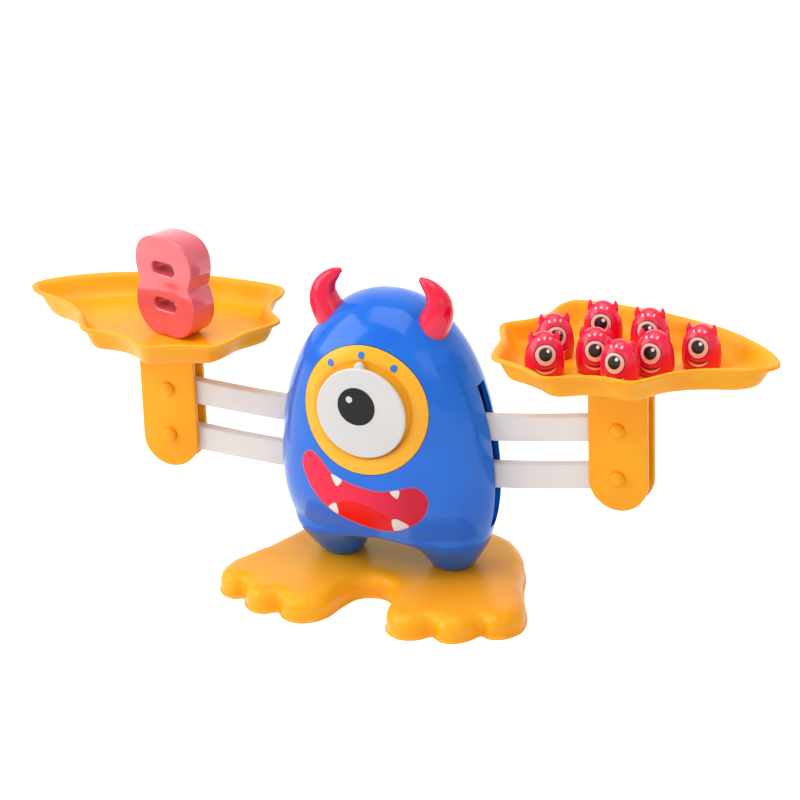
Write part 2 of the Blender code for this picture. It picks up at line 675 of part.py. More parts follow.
def make_eye():
    """The eye disc with its pointer, the pupil let into it and the glint let into the pupil."""
    rim = [(EYE_RADIUS - EYE_EDGE * (1 - math.cos(turn)), EYE_EDGE * (1 - math.sin(turn)))
           for turn in (math.radians(a) for a in (0, 45, 90))]
    profile = [(0.0, EYE_THICK), (EYE_BACK_RADIUS, EYE_THICK), (EYE_RADIUS, EYE_LIP)] + rim + [(0.0, -EYE_DOME)]
    disc = turned("eye_disc", profile, (0, EYE_FRONT, PIVOT_HEIGHT), sides=28)
    front = EYE_FRONT + POINTER_INSET
    back = EYE_BACK - POINTER_INSET
    half = POINTER_WIDTH / 2
    end = PIVOT_HEIGHT + EYE_RADIUS + POINTER_RISE - half
    disc = fused(
        disc,
        box("pointer", (-half, front, PIVOT_HEIGHT + EYE_BACK_RADIUS - half), (half, back, end)),
        rod("pointer_tip", (0, front, end), back - front, half, sides=16),
    )
    pupil_x, pupil_z = PUPIL_PLACE[0], PIVOT_HEIGHT + PUPIL_PLACE[1]
    disc = cut(
        disc,
        rod("pupil_seat", (pupil_x, -FAR, pupil_z), FAR + PUPIL_BACK + FIT, PUPIL_RADIUS + FIT / 2, sides=24),
        rod("eye_screw_seat", (0, -FAR, PIVOT_HEIGHT), FAR + EYE_SCREW_SEAT + FIT, SCREW_HEAD_RADIUS + FIT, sides=10),
        rod("shaft_seat", (0, EYE_BACK - SHAFT_LET_IN, PIVOT_HEIGHT), FAR, SHAFT_RADIUS + FIT),
        rod("eye_screw_hole", (0, -FAR, PIVOT_HEIGHT), 2 * FAR, SCREW_RADIUS + FIT, sides=8),
    )
    front = EYE_FRONT - EYE_DOME
    pupil = rod("eye_pupil", (pupil_x, front, pupil_z), PUPIL_BACK - front, PUPIL_RADIUS, sides=24)
    glint_x, glint_z = pupil_x + GLINT_PLACE[0], pupil_z + GLINT_PLACE[1]
    pupil = cut(pupil, rod("glint_seat", (glint_x, -FAR, glint_z), FAR + front + GLINT_THICK, GLINT_RADIUS + FIT / 2,
                           sides=12))
    glint = rod("eye_glint", (glint_x, front, glint_z), GLINT_THICK - FIT, GLINT_RADIUS, sides=12)
    return disc, pupil, glint


def make_shafts():
    """The upper shaft, which turns with the beam and the eye, and the fixed lower pin."""
    front = EYE_BACK - SHAFT_LET_IN + FIT
    back = BOSS_FLOOR + SHAFT_TAIL
    shaft = rod("upper_shaft", (0, front, PIVOT_HEIGHT), back - front, SHAFT_RADIUS, sides=14)
    hole_end = EYE_SCREW_SEAT + EYE_SCREW_LENGTH + SCREW_TIP_GAP
    shaft = cut(shaft, rod("shaft_screw_hole", (0, -FAR, PIVOT_HEIGHT), FAR + hole_end, SCREW_RADIUS + FIT, sides=8))
    pin = rod("lower_pivot_pin", (0, -back, LOWER_PIVOT.z), 2 * back, SHAFT_RADIUS, sides=14)
    return shaft, pin


def make_bush(name, pivot, side):
    """A flanged bush in a boss of the front or rear shell."""
    start = -BOSS_FLOOR + FIT if side < 0 else BOSS_START
    tube = rod(name, (0, start, pivot.z), BUSH_LENGTH - FIT, BUSH_RADIUS, sides=14)
    return cut(tube, rod(name + "_bore", (0, -FAR, pivot.z), 2 * FAR, SHAFT_RADIUS + FIT, sides=14))


def make_horn(form, side):
    """A horn that curves inwards, hollowed to sit on the body, with a peg into the front shell."""
    curve = bpy.data.curves.new("horn", "CURVE")
    curve.dimensions = "3D"
    curve.bevel_depth = MM
    curve.bevel_resolution = 3
    curve.use_fill_caps = True
    spline = curve.splines.new("POLY")
    spline.points.add(len(HORN_LINE) - 1)
    for point, (x, z, radius) in zip(spline.points, HORN_LINE):
        point.co = (side * x * MM, HORN_SET_BACK, SOLE + z * MM, 1.0)
        point.radius = radius
    obj = bpy.data.objects.new("horn_right" if side > 0 else "horn_left", curve)
    CUTTERS.objects.link(obj)
    horn = cut(settled(obj), grown(form, "horn_seat", FIT))
    peg = rod("horn_peg", (side * HORN_PEG_X, HORN_SET_BACK, HORN_PEG_LOW), HORN_PEG_TOP - HORN_PEG_LOW,
              HORN_PEG_RADIUS, "Z", sides=10)
    return fused(horn, peg)


def make_base():
    """The foot plate, hollow from below, and the cover that closes it."""
    loop = smooth_loop(both_sides(TOE_OUTLINE), 2)
    plain = smooth_loop(both_sides(TOE_OUTLINE), 1)
    base = plate("base_feet", loop, -BASE_ROUND, BASE_HEIGHT, rounding=BASE_ROUND, steps=1)
    base = cut(base, box("ground", (-FAR * 2, -FAR * 2, -FAR), (FAR * 2, FAR * 2, 0)))
    base = cut(base, plate("base_hollow", inset(plain, BASE_WALL + COVER_LEDGE), -FAR, BASE_HEIGHT - BASE_WALL))
    base = cut(base, plate("cover_seat", inset(plain, BASE_WALL - COVER_LEDGE * 0.5), -FAR, COVER_THICK + FIT))
    hole_top = BASE_HEIGHT - BASE_WALL - FIT
    screw_seat = COVER_SINK - FIT
    posts, pads, holes, cover_holes, screws = [], [], [], [], []
    for side in (-1, 1):
        x, y = LEG_SCREW_PLACE
        holes.append(rod("leg_hole", (side * x, y, 0), FAR, SCREW_RADIUS + FIT, "Z", sides=8))
        for px, py in COVER_SCREW_PLACES:
            place = Vector((side * px, py, 0))
            posts.append(rod("cover_post", place + Vector((0, 0, COVER_PAD + FIT)),
                             BASE_HEIGHT - BASE_WALL / 2 - COVER_PAD - FIT, SCREW_POST_RADIUS, "Z", sides=10))
            pads.append(rod("cover_pad", place + Vector((0, 0, COVER_THICK / 2)), COVER_PAD - COVER_THICK / 2,
                            SCREW_POST_RADIUS, "Z", sides=10))
            holes.append(rod("post_hole", place, hole_top, SCREW_RADIUS + FIT, "Z", sides=8))
            cover_holes.append(rod("cover_hole", place - Vector((0, 0, FAR)), 2 * FAR, SCREW_RADIUS + FIT, "Z",
                                   sides=8))
            cover_holes.append(rod("cover_sink", place - Vector((0, 0, FAR)), FAR + COVER_SINK,
                                   SCREW_HEAD_RADIUS + FIT, "Z", sides=10))
            screws.append(screw(f"cover_screw_{len(screws) + 1}", place + Vector((0, 0, screw_seat)),
                                hole_top - SCREW_TIP_GAP - screw_seat, "Z", head_first=True))
    base = cut(fused(base, *posts), *holes)
    cover = plate("base_cover", inset(plain, BASE_WALL - COVER_LEDGE * 0.5 + FIT), 0, COVER_THICK)
    cover = cut(fused(cover, *pads), *cover_holes)
    return base, cover, screws


def make_leg_screws():
    """Two screws that hold the legs to the base from inside it."""
    x, y = LEG_SCREW_PLACE
    seat = BASE_HEIGHT - BASE_WALL - FIT
    length = LEG_POST_TOP - POST_HOLE_COVER - SCREW_TIP_GAP - seat
    return [screw(f"leg_screw_{number}", (side * x, y, seat), length, "Z", head_first=True)
            for number, side in enumerate((-1, 1), start=1)]


def make_shell_screws():
    """Four screws that pull the rear shell to the front shell."""
    length = SHELL_SCREW_REACH + SHELL_SCREW_SEAT - SCREW_TIP_GAP
    places = [(side * x, SOLE + z) for x, z in SHELL_SCREW_PLACES for side in (-1, 1)]
    return [screw(f"shell_screw_{number}", (x, SHELL_SCREW_SEAT + FIT, z), length, "Y")
            for number, (x, z) in enumerate(places, start=1)]


def make_pan(name, turn):
    """A pan on the right stem, turned about it: a scalloped tray over a plug that the stem plates hold."""
    loop = [Matrix.Rotation(turn, 2) @ point for point in smooth_loop(PAN_OUTLINE, 2)]
    outside = [([point * share for point in loop], PAN_LOW + rise * PAN_DEPTH) for share, rise in PAN_PROFILE]
    inside = [(inset(outline, PAN_WALL), max(height, PAN_FLOOR)) for outline, height in reversed(outside)]
    tray = lofted(name, [[Vector((ARM_LENGTH + p.x, p.y, height)) for p in outline]
                         for outline, height in outside + inside])
    half_gap = STEM_GAP / 2 - FIT
    plug = box("plug", (ARM_LENGTH - PLUG_WIDTH / 2, -half_gap, PLUG_LOW),
               (ARM_LENGTH + PLUG_WIDTH / 2, half_gap, PAN_LOW + PAN_WALL / 2))
    return fused(tray, plug)


def make_stem_plate(name, side):
    """One plate of the right stem, on the face side (-1) or the far side (+1)."""
    half = STEM_WIDTH / 2
    top = PAN_LOW - FIT
    tail = PIN_HEIGHT - LINK_SPACING - STEM_TAIL_DROP
    arc = [Vector((ARM_LENGTH + half * math.cos(a), tail + half * math.sin(a)))
           for a in (math.pi + math.pi * k / 10 for k in range(11))]
    loop = arc + [Vector((ARM_LENGTH + half, top)), Vector((ARM_LENGTH - half, top))]
    inner, outer = STEM_GAP / 2, STEM_DEPTH / 2
    low, high = (inner, outer) if side > 0 else (-outer, -inner)
    piece = plate(name, loop, low, high, upright=True)
    for drop in (0.0, LINK_SPACING):
        z = PIN_HEIGHT - drop
        piece = cut(piece, rod("pin_hole", (ARM_LENGTH, -FAR, z), 2 * FAR, PIN_RADIUS + FIT / 2, sides=12))
    return piece


def make_pin(name, height):
    """A domed pin through both stem plates and the end of a beam."""
    front = -STEM_DEPTH / 2 - FIT
    back = STEM_DEPTH / 2 + FIT
    length = back - front
    dome = [(PIN_HEAD_RADIUS * math.cos(a), -PIN_HEAD_RISE * (0.25 + 0.75 * math.sin(a)))
            for a in (math.radians(angle) for angle in (0, 35, 65))]
    profile = [(0.0, length + PIN_BACK_RISE), (PIN_HEAD_RADIUS * 0.7, length + PIN_BACK_RISE),
               (PIN_HEAD_RADIUS * 0.95, length + PIN_BACK_RISE * 0.4), (PIN_HEAD_RADIUS * 0.95, length),
               (PIN_RADIUS, length), (PIN_RADIUS, 0.0), (PIN_HEAD_RADIUS, 0.0)] + dome + [(0.0, -PIN_HEAD_RISE)]
    return turned(name, profile, (ARM_LENGTH, front, height), sides=12)


def make_block():
    """The number block, with a recess in its back that makes it as heavy as its count of counters."""
    loop = smooth_loop(both_sides(BLOCK_OUTLINE), 2)
    half = BLOCK_THICK / 2
    block = plate("number_block_8", loop, -half, half, rounding=BLOCK_ROUND, steps=0, upright=True)
    block = cut(block, box("flat_foot", (-FAR, -FAR, -FAR), (FAR, FAR, BLOCK_FOOT_CUT)))
    for height in BLOCK_SLOTS:
        end = BLOCK_SLOT_HEIGHT / 2
        reach = BLOCK_SLOT_WIDTH / 2 - end
        arc = [Vector((side * reach + end * math.sin(a) * side, height + end * math.cos(a) * side))
               for side in (1, -1) for a in (math.pi * k / 5 for k in range(6))]
        block = cut(block, plate("block_slot", arc, -FAR, FAR, upright=True))
    width, depth, tall = BLOCK_POCKET
    return cut(block, box("pocket", (-width / 2, half - depth, BLOCK_POCKET_HEIGHT - tall / 2),
                          (width / 2, FAR, BLOCK_POCKET_HEIGHT + tall / 2)))


def make_counter():
    """A counter: a small egg, hollow from below, with a flat foot and two horns."""
    heights = [1.0, 0.955, 0.81, 0.6, 0.36, 0.13, 0.0]
    widths = [0.0, 0.37, 0.71, 0.92, 1.0, 0.985, 0.9]
    profile = [(COUNTER_RADIUS * w, COUNTER_HEIGHT * h) for w, h in zip(widths, heights)] + [(0.0, 0.0)]
    egg = turned("counter", profile, (0, 0, 0), "Z", sides=COUNTER_SIDES)
    egg = moved(egg, Matrix.Scale(COUNTER_FLATNESS, 4, Vector((0, 1, 0))))
    for side in (-1, 1):
        base = Vector((side * COUNTER_RADIUS * COUNTER_HORN_REACH, 0, COUNTER_HEIGHT * COUNTER_HORN_BASE))
        bm = bmesh.new()
        bmesh.ops.create_cone(bm, cap_ends=True, segments=6, radius1=COUNTER_HORN_RADIUS,
                              radius2=COUNTER_HORN_TIP, depth=COUNTER_HORN_LENGTH)
        bmesh.ops.translate(bm, vec=(0, 0, COUNTER_HORN_LENGTH / 2), verts=bm.verts)
        turn = Matrix.Rotation(side * COUNTER_HORN_LEAN, 4, "Y")
        bmesh.ops.transform(bm, matrix=Matrix.Translation(base) @ turn, verts=bm.verts)
        egg = fused(egg, from_bmesh("counter_horn", bm))
    radius, depth = COUNTER_BORE
    return cut(egg, rod("counter_bore", (0, 0, -depth), 2 * depth, radius, "Z", sides=8))


def main():
    clear_scene()
    form = body_form()
    front, rear = make_shells(form)
    ring = make_eye_ring(form)
    dots, ring = make_index_dots(form, ring)
    mouth = make_mouth(form)
    disc, pupil, glint = make_eye()
    shaft, lower_pin = make_shafts()
    base, cover, cover_screws = make_base()
    horns = []
    for side in (-1, 1):
        horns.append(make_horn(form, side))
        hole = rod("peg_hole", (side * HORN_PEG_X, HORN_SET_BACK, HORN_PEG_LOW - HORN_PEG_END_GAP), FAR,
                   HORN_PEG_RADIUS + FIT, "Z", sides=10)
        front = cut(front, hole)

    dressed(front, BLUE)
    dressed(rear, BLUE)
    dressed(ring, YELLOW)
    for dot in dots:
        dressed(dot, BLUE)
    dressed(mouth, PRINT)
    for horn in horns:
        dressed(horn, RED)
    dressed(base, ORANGE)
    dressed(cover, ORANGE)
    for fastener in cover_screws + make_leg_screws() + make_shell_screws() + [lower_pin]:
        dressed(fastener, STEEL)
    for name, pivot, side in (("upper_bush_front", UPPER_PIVOT, -1), ("upper_bush_rear", UPPER_PIVOT, 1),
                              ("lower_bush_front", LOWER_PIVOT, -1), ("lower_bush_rear", LOWER_PIVOT, 1)):
        dressed(make_bush(name, pivot, side), WHITE)

    upper_beam = dressed(beam("beam_upper", UPPER_PIVOT, SHAFT_RADIUS + FIT), WHITE)
    lower_beam = dressed(beam("beam_lower", LOWER_PIVOT, SHAFT_RADIUS + FIT), WHITE)
    eye_screw = screw("eye_screw", (0, EYE_SCREW_SEAT, PIVOT_HEIGHT), EYE_SCREW_LENGTH, "Y", head_first=True)
    turning = [upper_beam, dressed(shaft, STEEL), dressed(disc, WHITE), dressed(pupil, BLACK), dressed(glint, WHITE),
               dressed(eye_screw, STEEL)]
    upper_tilt = joint_empty("beam_tilt", UPPER_PIVOT)
    lower_tilt = joint_empty("beam_lower_tilt", LOWER_PIVOT)
    carried(upper_tilt, turning)
    carried(lower_tilt, [lower_beam])

    right = [make_stem_plate("stem_right_front", -1), make_stem_plate("stem_right_rear", 1),
             make_pin("stem_right_upper_pin", PIN_HEIGHT), make_pin("stem_right_lower_pin", PIN_HEIGHT - LINK_SPACING)]
    left = [mirrored(piece, piece.name.replace("right", "left")) for piece in right]
    right.append(make_pan("pan_right", PAN_TURN))
    left.append(mirrored(make_pan("pan_form", -PAN_TURN), "pan_left"))
    for piece in left + right:
        dressed(piece, ORANGE)

    block = dressed(make_block(), PINK)
    x, y = BLOCK_PLACE
    block.location = (-ARM_LENGTH + x, y, PAN_FLOOR + FIT - BLOCK_FOOT_CUT)
    block.rotation_euler = (0, 0, BLOCK_TURN)
    left.append(block)
    counter = make_counter()
    for number, (x, y, turn) in enumerate(COUNTER_PLACES, start=1):
        piece = new_object(f"counter_{number}", counter.data)
        piece.location = (ARM_LENGTH + x * COUNTER_RADIUS, y * COUNTER_RADIUS, PAN_FLOOR + FIT)
        piece.rotation_euler = (0, 0, math.radians(turn))
        right.append(dressed(piece, COUNTER_RED))

    left_level = joint_empty("left_pan_level", (-ARM_LENGTH, 0, PIN_HEIGHT))
    right_level = joint_empty("right_pan_level", (ARM_LENGTH, 0, PIN_HEIGHT))
    carried(left_level, left)
    carried(right_level, right)

    rest = Matrix.Rotation(-REST_TILT, 4, "Y")
    for tilt in (upper_tilt, lower_tilt):
        tilt.rotation_euler = rest.to_euler()
    for level in (left_level, right_level):
        level.location = UPPER_PIVOT + rest @ (level.location - UPPER_PIVOT)


main()
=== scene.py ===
"""Looks of a number balance: a horned, one-eyed toy figure with two linked beams, two pans and its weights.

Lengths are metres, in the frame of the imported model: +X points to the pan with the counters, -Y to the
viewer that the face looks at, +Z up. Sizes in the classes are millimetres, as a maker would write them.
"""

import json
import logging
import math
from dataclasses import dataclass, field
from enum import Enum
from typing import Any, Iterable, Optional, Sequence, Union

import bmesh
import bpy
from mathutils import Matrix, Vector
from mathutils.geometry import delaunay_2d_cdt


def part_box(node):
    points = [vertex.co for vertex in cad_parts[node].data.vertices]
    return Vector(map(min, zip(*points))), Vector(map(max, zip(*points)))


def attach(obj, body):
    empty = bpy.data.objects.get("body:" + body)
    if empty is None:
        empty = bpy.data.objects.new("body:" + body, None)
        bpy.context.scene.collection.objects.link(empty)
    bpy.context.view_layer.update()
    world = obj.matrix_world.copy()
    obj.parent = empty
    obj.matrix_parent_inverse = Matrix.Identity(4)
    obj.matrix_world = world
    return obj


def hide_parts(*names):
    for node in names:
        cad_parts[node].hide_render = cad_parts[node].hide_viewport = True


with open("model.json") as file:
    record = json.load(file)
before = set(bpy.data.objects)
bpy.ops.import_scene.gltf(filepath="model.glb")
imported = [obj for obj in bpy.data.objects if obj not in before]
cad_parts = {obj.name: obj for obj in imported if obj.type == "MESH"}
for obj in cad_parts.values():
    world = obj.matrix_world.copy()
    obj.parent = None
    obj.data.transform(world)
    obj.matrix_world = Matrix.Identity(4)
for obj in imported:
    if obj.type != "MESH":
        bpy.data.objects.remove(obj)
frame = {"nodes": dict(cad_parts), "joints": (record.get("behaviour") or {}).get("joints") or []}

MM = 0.001
SEED = 7
FACING = Matrix.Rotation(math.radians(90), 4, "X")
Colour = tuple[float, float, float]
Flat = tuple[float, float]
Loop = list[Vector]
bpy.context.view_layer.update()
log = logging.getLogger("number_balance")


class Signal:
    """An output socket of a node tree. Arithmetic on it adds the nodes that work it out."""

    def __init__(self, sheet: "Sheet", socket: bpy.types.NodeSocket) -> None:
        """Keep the socket and the sheet that new nodes go on."""
        self.sheet = sheet
        self.socket = socket

    def combined(self, operation: str, other: Any, swapped: bool = False) -> "Signal":
        """Join this signal with another one or with a constant.

        Args:
            operation: ADD, SUBTRACT, MULTIPLY, DIVIDE, POWER, MAXIMUM or LESS_THAN.
            other: a signal, a number, or a vector or colour as a tuple.
            swapped: whether the other one comes first.

        Returns:
            The signal of the result.
        """
        first, second = (other, self) if swapped else (self, other)
        kinds = {item.socket.type for item in (first, second) if isinstance(item, Signal)}
        if "RGBA" in kinds:
            settings = {"data_type": "RGBA", "blend_type": operation}
            return self.sheet.node("ShaderNodeMix", settings, {0: 1.0, 6: first, 7: second}, 2)
        if "VECTOR" in kinds:
            kind = "ShaderNodeVectorMath"
            if operation == "MULTIPLY" and not isinstance(other, (Signal, tuple)):
                return self.sheet.node(kind, {"operation": "SCALE"}, {0: self, "Scale": other})
            return self.sheet.node(kind, {"operation": operation}, {0: first, 1: second})
        return self.sheet.node("ShaderNodeMath", {"operation": operation}, {0: first, 1: second})

    def __add__(self, other: Any) -> "Signal":
        """Sum."""
        return self.combined("ADD", other)

    def __radd__(self, other: Any) -> "Signal":
        """Sum with a constant in front."""
        return self.combined("ADD", other, True)

    def __sub__(self, other: Any) -> "Signal":
        """Difference."""
        return self.combined("SUBTRACT", other)

    def __rsub__(self, other: Any) -> "Signal":
        """Difference from a constant."""
        return self.combined("SUBTRACT", other, True)

    def __mul__(self, other: Any) -> "Signal":
        """Product."""
        return self.combined("MULTIPLY", other)

    def __rmul__(self, other: Any) -> "Signal":
        """Product with a constant in front."""
        return self.combined("MULTIPLY", other, True)

    def __truediv__(self, other: Any) -> "Signal":
        """Quotient."""
        return self.combined("DIVIDE", other)

    def __rtruediv__(self, other: Any) -> "Signal":
        """Quotient of a constant."""
        return self.combined("DIVIDE", other, True)

    def __pow__(self, other: Any) -> "Signal":
        """Power."""
        return self.combined("POWER", other)

    def most(self, other: Any) -> "Signal":
        """The larger of the two."""
        return self.combined("MAXIMUM", other)

    def under(self, other: Any) -> "Signal":
        """1 where this is below the other, else 0."""
        return self.combined("LESS_THAN", other)

    def cosine(self) -> "Signal":
        """Cosine of an angle in radians."""
        return self.sheet.node("ShaderNodeMath", {"operation": "COSINE"}, {0: self})

    def absolute(self) -> "Signal":
        """Value without its sign."""
        return self.sheet.node("ShaderNodeMath", {"operation": "ABSOLUTE"}, {0: self})

    def root(self) -> "Signal":
        """Square root."""
        return self.sheet.node("ShaderNodeMath", {"operation": "SQRT"}, {0: self})

    def parts(self) -> tuple["Signal", "Signal", "Signal"]:
        """The three components of a vector."""
        return tuple(self.sheet.node("ShaderNodeSeparateXYZ", {}, {0: self}, i) for i in range(3))

    def ramped(self, low: float, high: float) -> "Signal":
        """A smooth step from 0 at low to 1 at high, which may be the smaller one."""
        first, last, ends = (low, high, (0.0, 1.0)) if low < high else (high, low, (1.0, 0.0))
        return self.sheet.node("ShaderNodeMapRange", {"interpolation_type": "SMOOTHSTEP"},
                               {0: self, 1: first, 2: last, 3: ends[0], 4: ends[1]})


class Sheet:
    """A node tree under construction."""

    def __init__(self, tree: bpy.types.NodeTree) -> None:
        """Work on a tree."""
        self.tree = tree

    def node(self, kind: str, settings: Optional[dict[str, Any]] = None,
             inputs: Optional[dict[Union[int, str], Any]] = None, output: Union[int, str] = 0) -> Signal:
        """Add a node.

        Args:
            kind: the node's type name.
            settings: its properties, set before its sockets.
            inputs: values or signals by socket name or number.
            output: the socket that the signal stands for.

        Returns:
            The signal of that output.
        """
        made = self.tree.nodes.new(kind)
        for key, value in (settings or {}).items():
            setattr(made, key, value)
        for key, value in (inputs or {}).items():
            socket = made.inputs[key]
            if isinstance(value, Signal):
                self.tree.links.new(value.socket, socket)
            elif socket.type == "RGBA":
                socket.default_value = (*value, 1.0) if len(value) == 3 else value
            else:
                socket.default_value = value
        return Signal(self, made.outputs[output]) if made.outputs else Signal(self, made.inputs[0])

    def mixed(self, share: Any, first: Any, second: Any) -> Signal:
        """A colour between two, by a share from 0 to 1."""
        return self.node("ShaderNodeMix", {"data_type": "RGBA"}, {0: share, 6: first, 7: second}, 2)

    def seen(self) -> Signal:
        """1 for what the camera, a reflection or a see-through piece shows, and 0 for other light."""
        path = self.tree.nodes.new("ShaderNodeLightPath")
        seen = Signal(self, path.outputs["Is Camera Ray"])
        for kind in ("Is Glossy Ray", "Is Transmission Ray"):
            seen = seen.most(Signal(self, path.outputs[kind]))
        return seen


class MaterialSheet(Sheet):
    """The nodes of a material with one main shader."""

    def __init__(self, name: str) -> None:
        """Start a material with an empty tree and an output."""
        self.material = bpy.data.materials.new(name)
        self.material.use_nodes = True
        super().__init__(self.material.node_tree)
        self.tree.nodes.clear()
        self.output = self.tree.nodes.new("ShaderNodeOutputMaterial")
        self.place = self.node("ShaderNodeTexCoord", {}, {}, "Object")

    def noise(self, scale: float, detail: float = 2.0, place: Optional[Signal] = None) -> Signal:
        """Noise from 0 to 1 at a scale in cells per metre, over the object's own coordinates."""
        inputs = {"Vector": place or self.place, "Scale": scale, "Detail": detail}
        return self.node("ShaderNodeTexNoise", {}, inputs)

    def finished(self, surface: Signal) -> bpy.types.Material:
        """Connect the shader to the output and return the material."""
        self.tree.links.new(surface.socket, self.output.inputs["Surface"])
        return self.material


@dataclass(frozen=True)
class MouldedPlastic:
    """A moulded plastic: a clear gloss over a colour that drifts a little, with the tool's fine texture."""

    name: str
    colour: Colour
    deep: Colour
    roughness: float
    coat: float
    grain: float = 0.02
    shine: float = 0.3
    drift: float = 35.0

    def made(self) -> bpy.types.Material:
        """Build the material.

        Returns:
            The material with its node tree.
        """
        sheet = MaterialSheet(self.name)
        cloud = sheet.noise(self.drift)
        tint = sheet.mixed(cloud.ramped(0.35, 0.75), self.colour, self.deep)
        wear = sheet.noise(160.0, 3.0)
        rough = self.roughness * (wear * 0.35 + 0.82)
        pores = sheet.noise(2600.0, 1.0)
        bump = sheet.node("ShaderNodeBump", {}, {"Strength": self.grain, "Distance": 0.0002, "Height": pores})
        shader = sheet.node("ShaderNodeBsdfPrincipled", {}, {
            "Base Color": tint, "Roughness": rough, "Normal": bump, "Coat Weight": self.coat,
            "Coat Roughness": 0.10, "IOR": 1.5, "Specular IOR Level": self.shine})
        return sheet.finished(shader)


@dataclass(frozen=True)
class PrintedInk:
    """A printed colour with a painted shade that darkens it softly towards one side, the side away from the
    key light.
    """

    name: str
    colour: Colour
    painted_shade: Colour
    start: float
    end: float

    def made(self) -> bpy.types.Material:
        """Build the material, with its two ends given in metres along X."""
        sheet = MaterialSheet(self.name)
        across = sheet.place.parts()[0] + (sheet.noise(60.0) - 0.5) * 0.01
        # painted shade: the print darkens along X towards the side away from the key light
        tint = sheet.mixed(across.ramped(self.start, self.end), self.colour, self.painted_shade)
        dots = sheet.noise(900.0, 1.0)
        shader = sheet.node("ShaderNodeBsdfPrincipled", {}, {
            "Base Color": tint, "Roughness": dots * 0.1 + 0.25, "Specular IOR Level": 0.18})
        return sheet.finished(shader)


@dataclass(frozen=True)
class TurnedSteel:
    """Bright steel with the fine rings of turning or drawing."""

    name: str
    colour: Colour = (0.56, 0.56, 0.57)

    def made(self) -> bpy.types.Material:
        """Build the material."""
        sheet = MaterialSheet(self.name)
        streaks = sheet.noise(1800.0, 2.0, sheet.place * (1.0, 0.12, 1.0))
        shade = sheet.mixed(streaks, self.colour, (0.44, 0.44, 0.46))
        bump = sheet.node("ShaderNodeBump", {}, {"Strength": 0.05, "Distance": 0.0001, "Height": streaks})
        shader = sheet.node("ShaderNodeBsdfPrincipled", {}, {
            "Base Color": shade, "Metallic": 1.0, "Roughness": streaks * 0.12 + 0.24, "Normal": bump})
        return sheet.finished(shader)


@dataclass(frozen=True)
class CounterPaint:
    """A counter's red plastic, with a painted shade towards its foot, and its painted face, drawn on its own
    front-view map in millimetres.
    """

    name: str
    body: Colour = (0.90, 0.004, 0.055)
    # deep: the darker red of the painted shade on the lower part of the counter
    deep: Colour = (0.84, 0.012, 0.022)
    cloud: Colour = (0.70, 0.003, 0.030)
    sclera: Colour = (0.92, 0.50, 0.44)
    ink: Colour = (0.012, 0.008, 0.008)
    lip: Colour = (0.10, 0.006, 0.010)
    mouth: Colour = (0.30, 0.010, 0.015)
    teeth: Colour = (0.93, 0.45, 0.38)
    glint: Colour = (0.90, 0.86, 0.86)
    dot: Colour = (0.92, 0.50, 0.54)
    dots: tuple[Flat, ...] = ((-2.8, 6.9), (-0.1, 7.5), (2.6, 7.1))
    mouth_place: Flat = (0.0, -3.23)
    bite_place: Flat = (0.0, 8.1)
    eye_height: float = 12.1
    soft: float = 0.13

    def spot(self, chart: tuple[Signal, Signal], centre: Flat, radius: float) -> Signal:
        """1 inside a round spot of the map, measured from the eye's centre, and 0 outside it."""
        far = ((chart[0] - centre[0]) ** 2.0 + (chart[1] - centre[1]) ** 2.0).root()
        return far.ramped(radius + self.soft, radius - self.soft)

    def crescent(self, chart: tuple[Signal, Signal], radius: float, bite: Flat, reach: float) -> Signal:
        """1 inside the round of the mouth and outside the spot that is bitten from it."""
        return self.spot(chart, self.mouth_place, radius) * (1.0 - self.spot(chart, bite, reach))

    def made(self) -> bpy.types.Material:
        """Build the material."""
        sheet = MaterialSheet(self.name)
        across, up, _ = sheet.node("ShaderNodeUVMap", {"uv_map": "face"}, {}).parts()
        chart = (across * 100.0 - 50.0, up * 100.0 - (50.0 + self.eye_height))
        # painted shade: the red darkens towards the foot, from 4 to 12 mm below the eye
        tint = sheet.mixed(chart[1].ramped(-4.0, -12.0), self.body, self.deep)
        tint = sheet.mixed(sheet.noise(90.0) * 0.2, tint, self.cloud)
        layers = [
            (self.crescent(chart, 6.35, self.bite_place, 14.85), self.lip),
            (self.crescent(chart, 6.07, self.bite_place, 15.1), self.mouth),
            (self.crescent(chart, 6.07, (0.0, 0.2), 8.2), self.teeth),
            (self.spot(chart, (0.0, 0.0), 5.33), self.ink),
            (self.spot(chart, (0.0, 0.0), 4.88), self.sclera),
            (self.spot(chart, (0.0, 0.5), 3.2), self.ink),
            (self.spot(chart, (1.25, 2.1), 0.8), self.glint),
        ]
        layers += [(self.spot(chart, place, 0.55), self.dot) for place in self.dots]
        for share, colour in layers:
            tint = sheet.mixed(share, tint, colour)
        rough = 0.20 + sheet.noise(200.0) * 0.06
        shader = sheet.node("ShaderNodeBsdfPrincipled", {}, {
            "Base Color": tint, "Roughness": rough, "Coat Weight": 0.35, "Coat Roughness": 0.06,
            "Specular IOR Level": 0.3})
        return sheet.finished(shader)


@dataclass(frozen=True)
class StudioFloor:
    """A pale floor that the camera sees nearly white, so that only the soft shadow shows."""

    name: str
    paper: float = 0.86
    lift: float = 0.62

    def made(self) -> bpy.types.Material:
        """Build the material."""
        sheet = MaterialSheet(self.name)
        weave = sheet.noise(30.0) * 0.02 + (self.paper - 0.01)
        paper = sheet.node("ShaderNodeCombineColor", {}, {0: weave, 1: weave, 2: weave})
        diffuse = sheet.node("ShaderNodeBsdfDiffuse", {}, {"Color": paper})
        light = sheet.node("ShaderNodeEmission", {}, {"Color": (1.0, 1.0, 1.0), "Strength": self.lift})
        lifted = sheet.node("ShaderNodeAddShader", {}, {0: diffuse, 1: light})
        return sheet.finished(sheet.node("ShaderNodeMixShader", {}, {0: sheet.seen(), 1: diffuse, 2: lifted}))


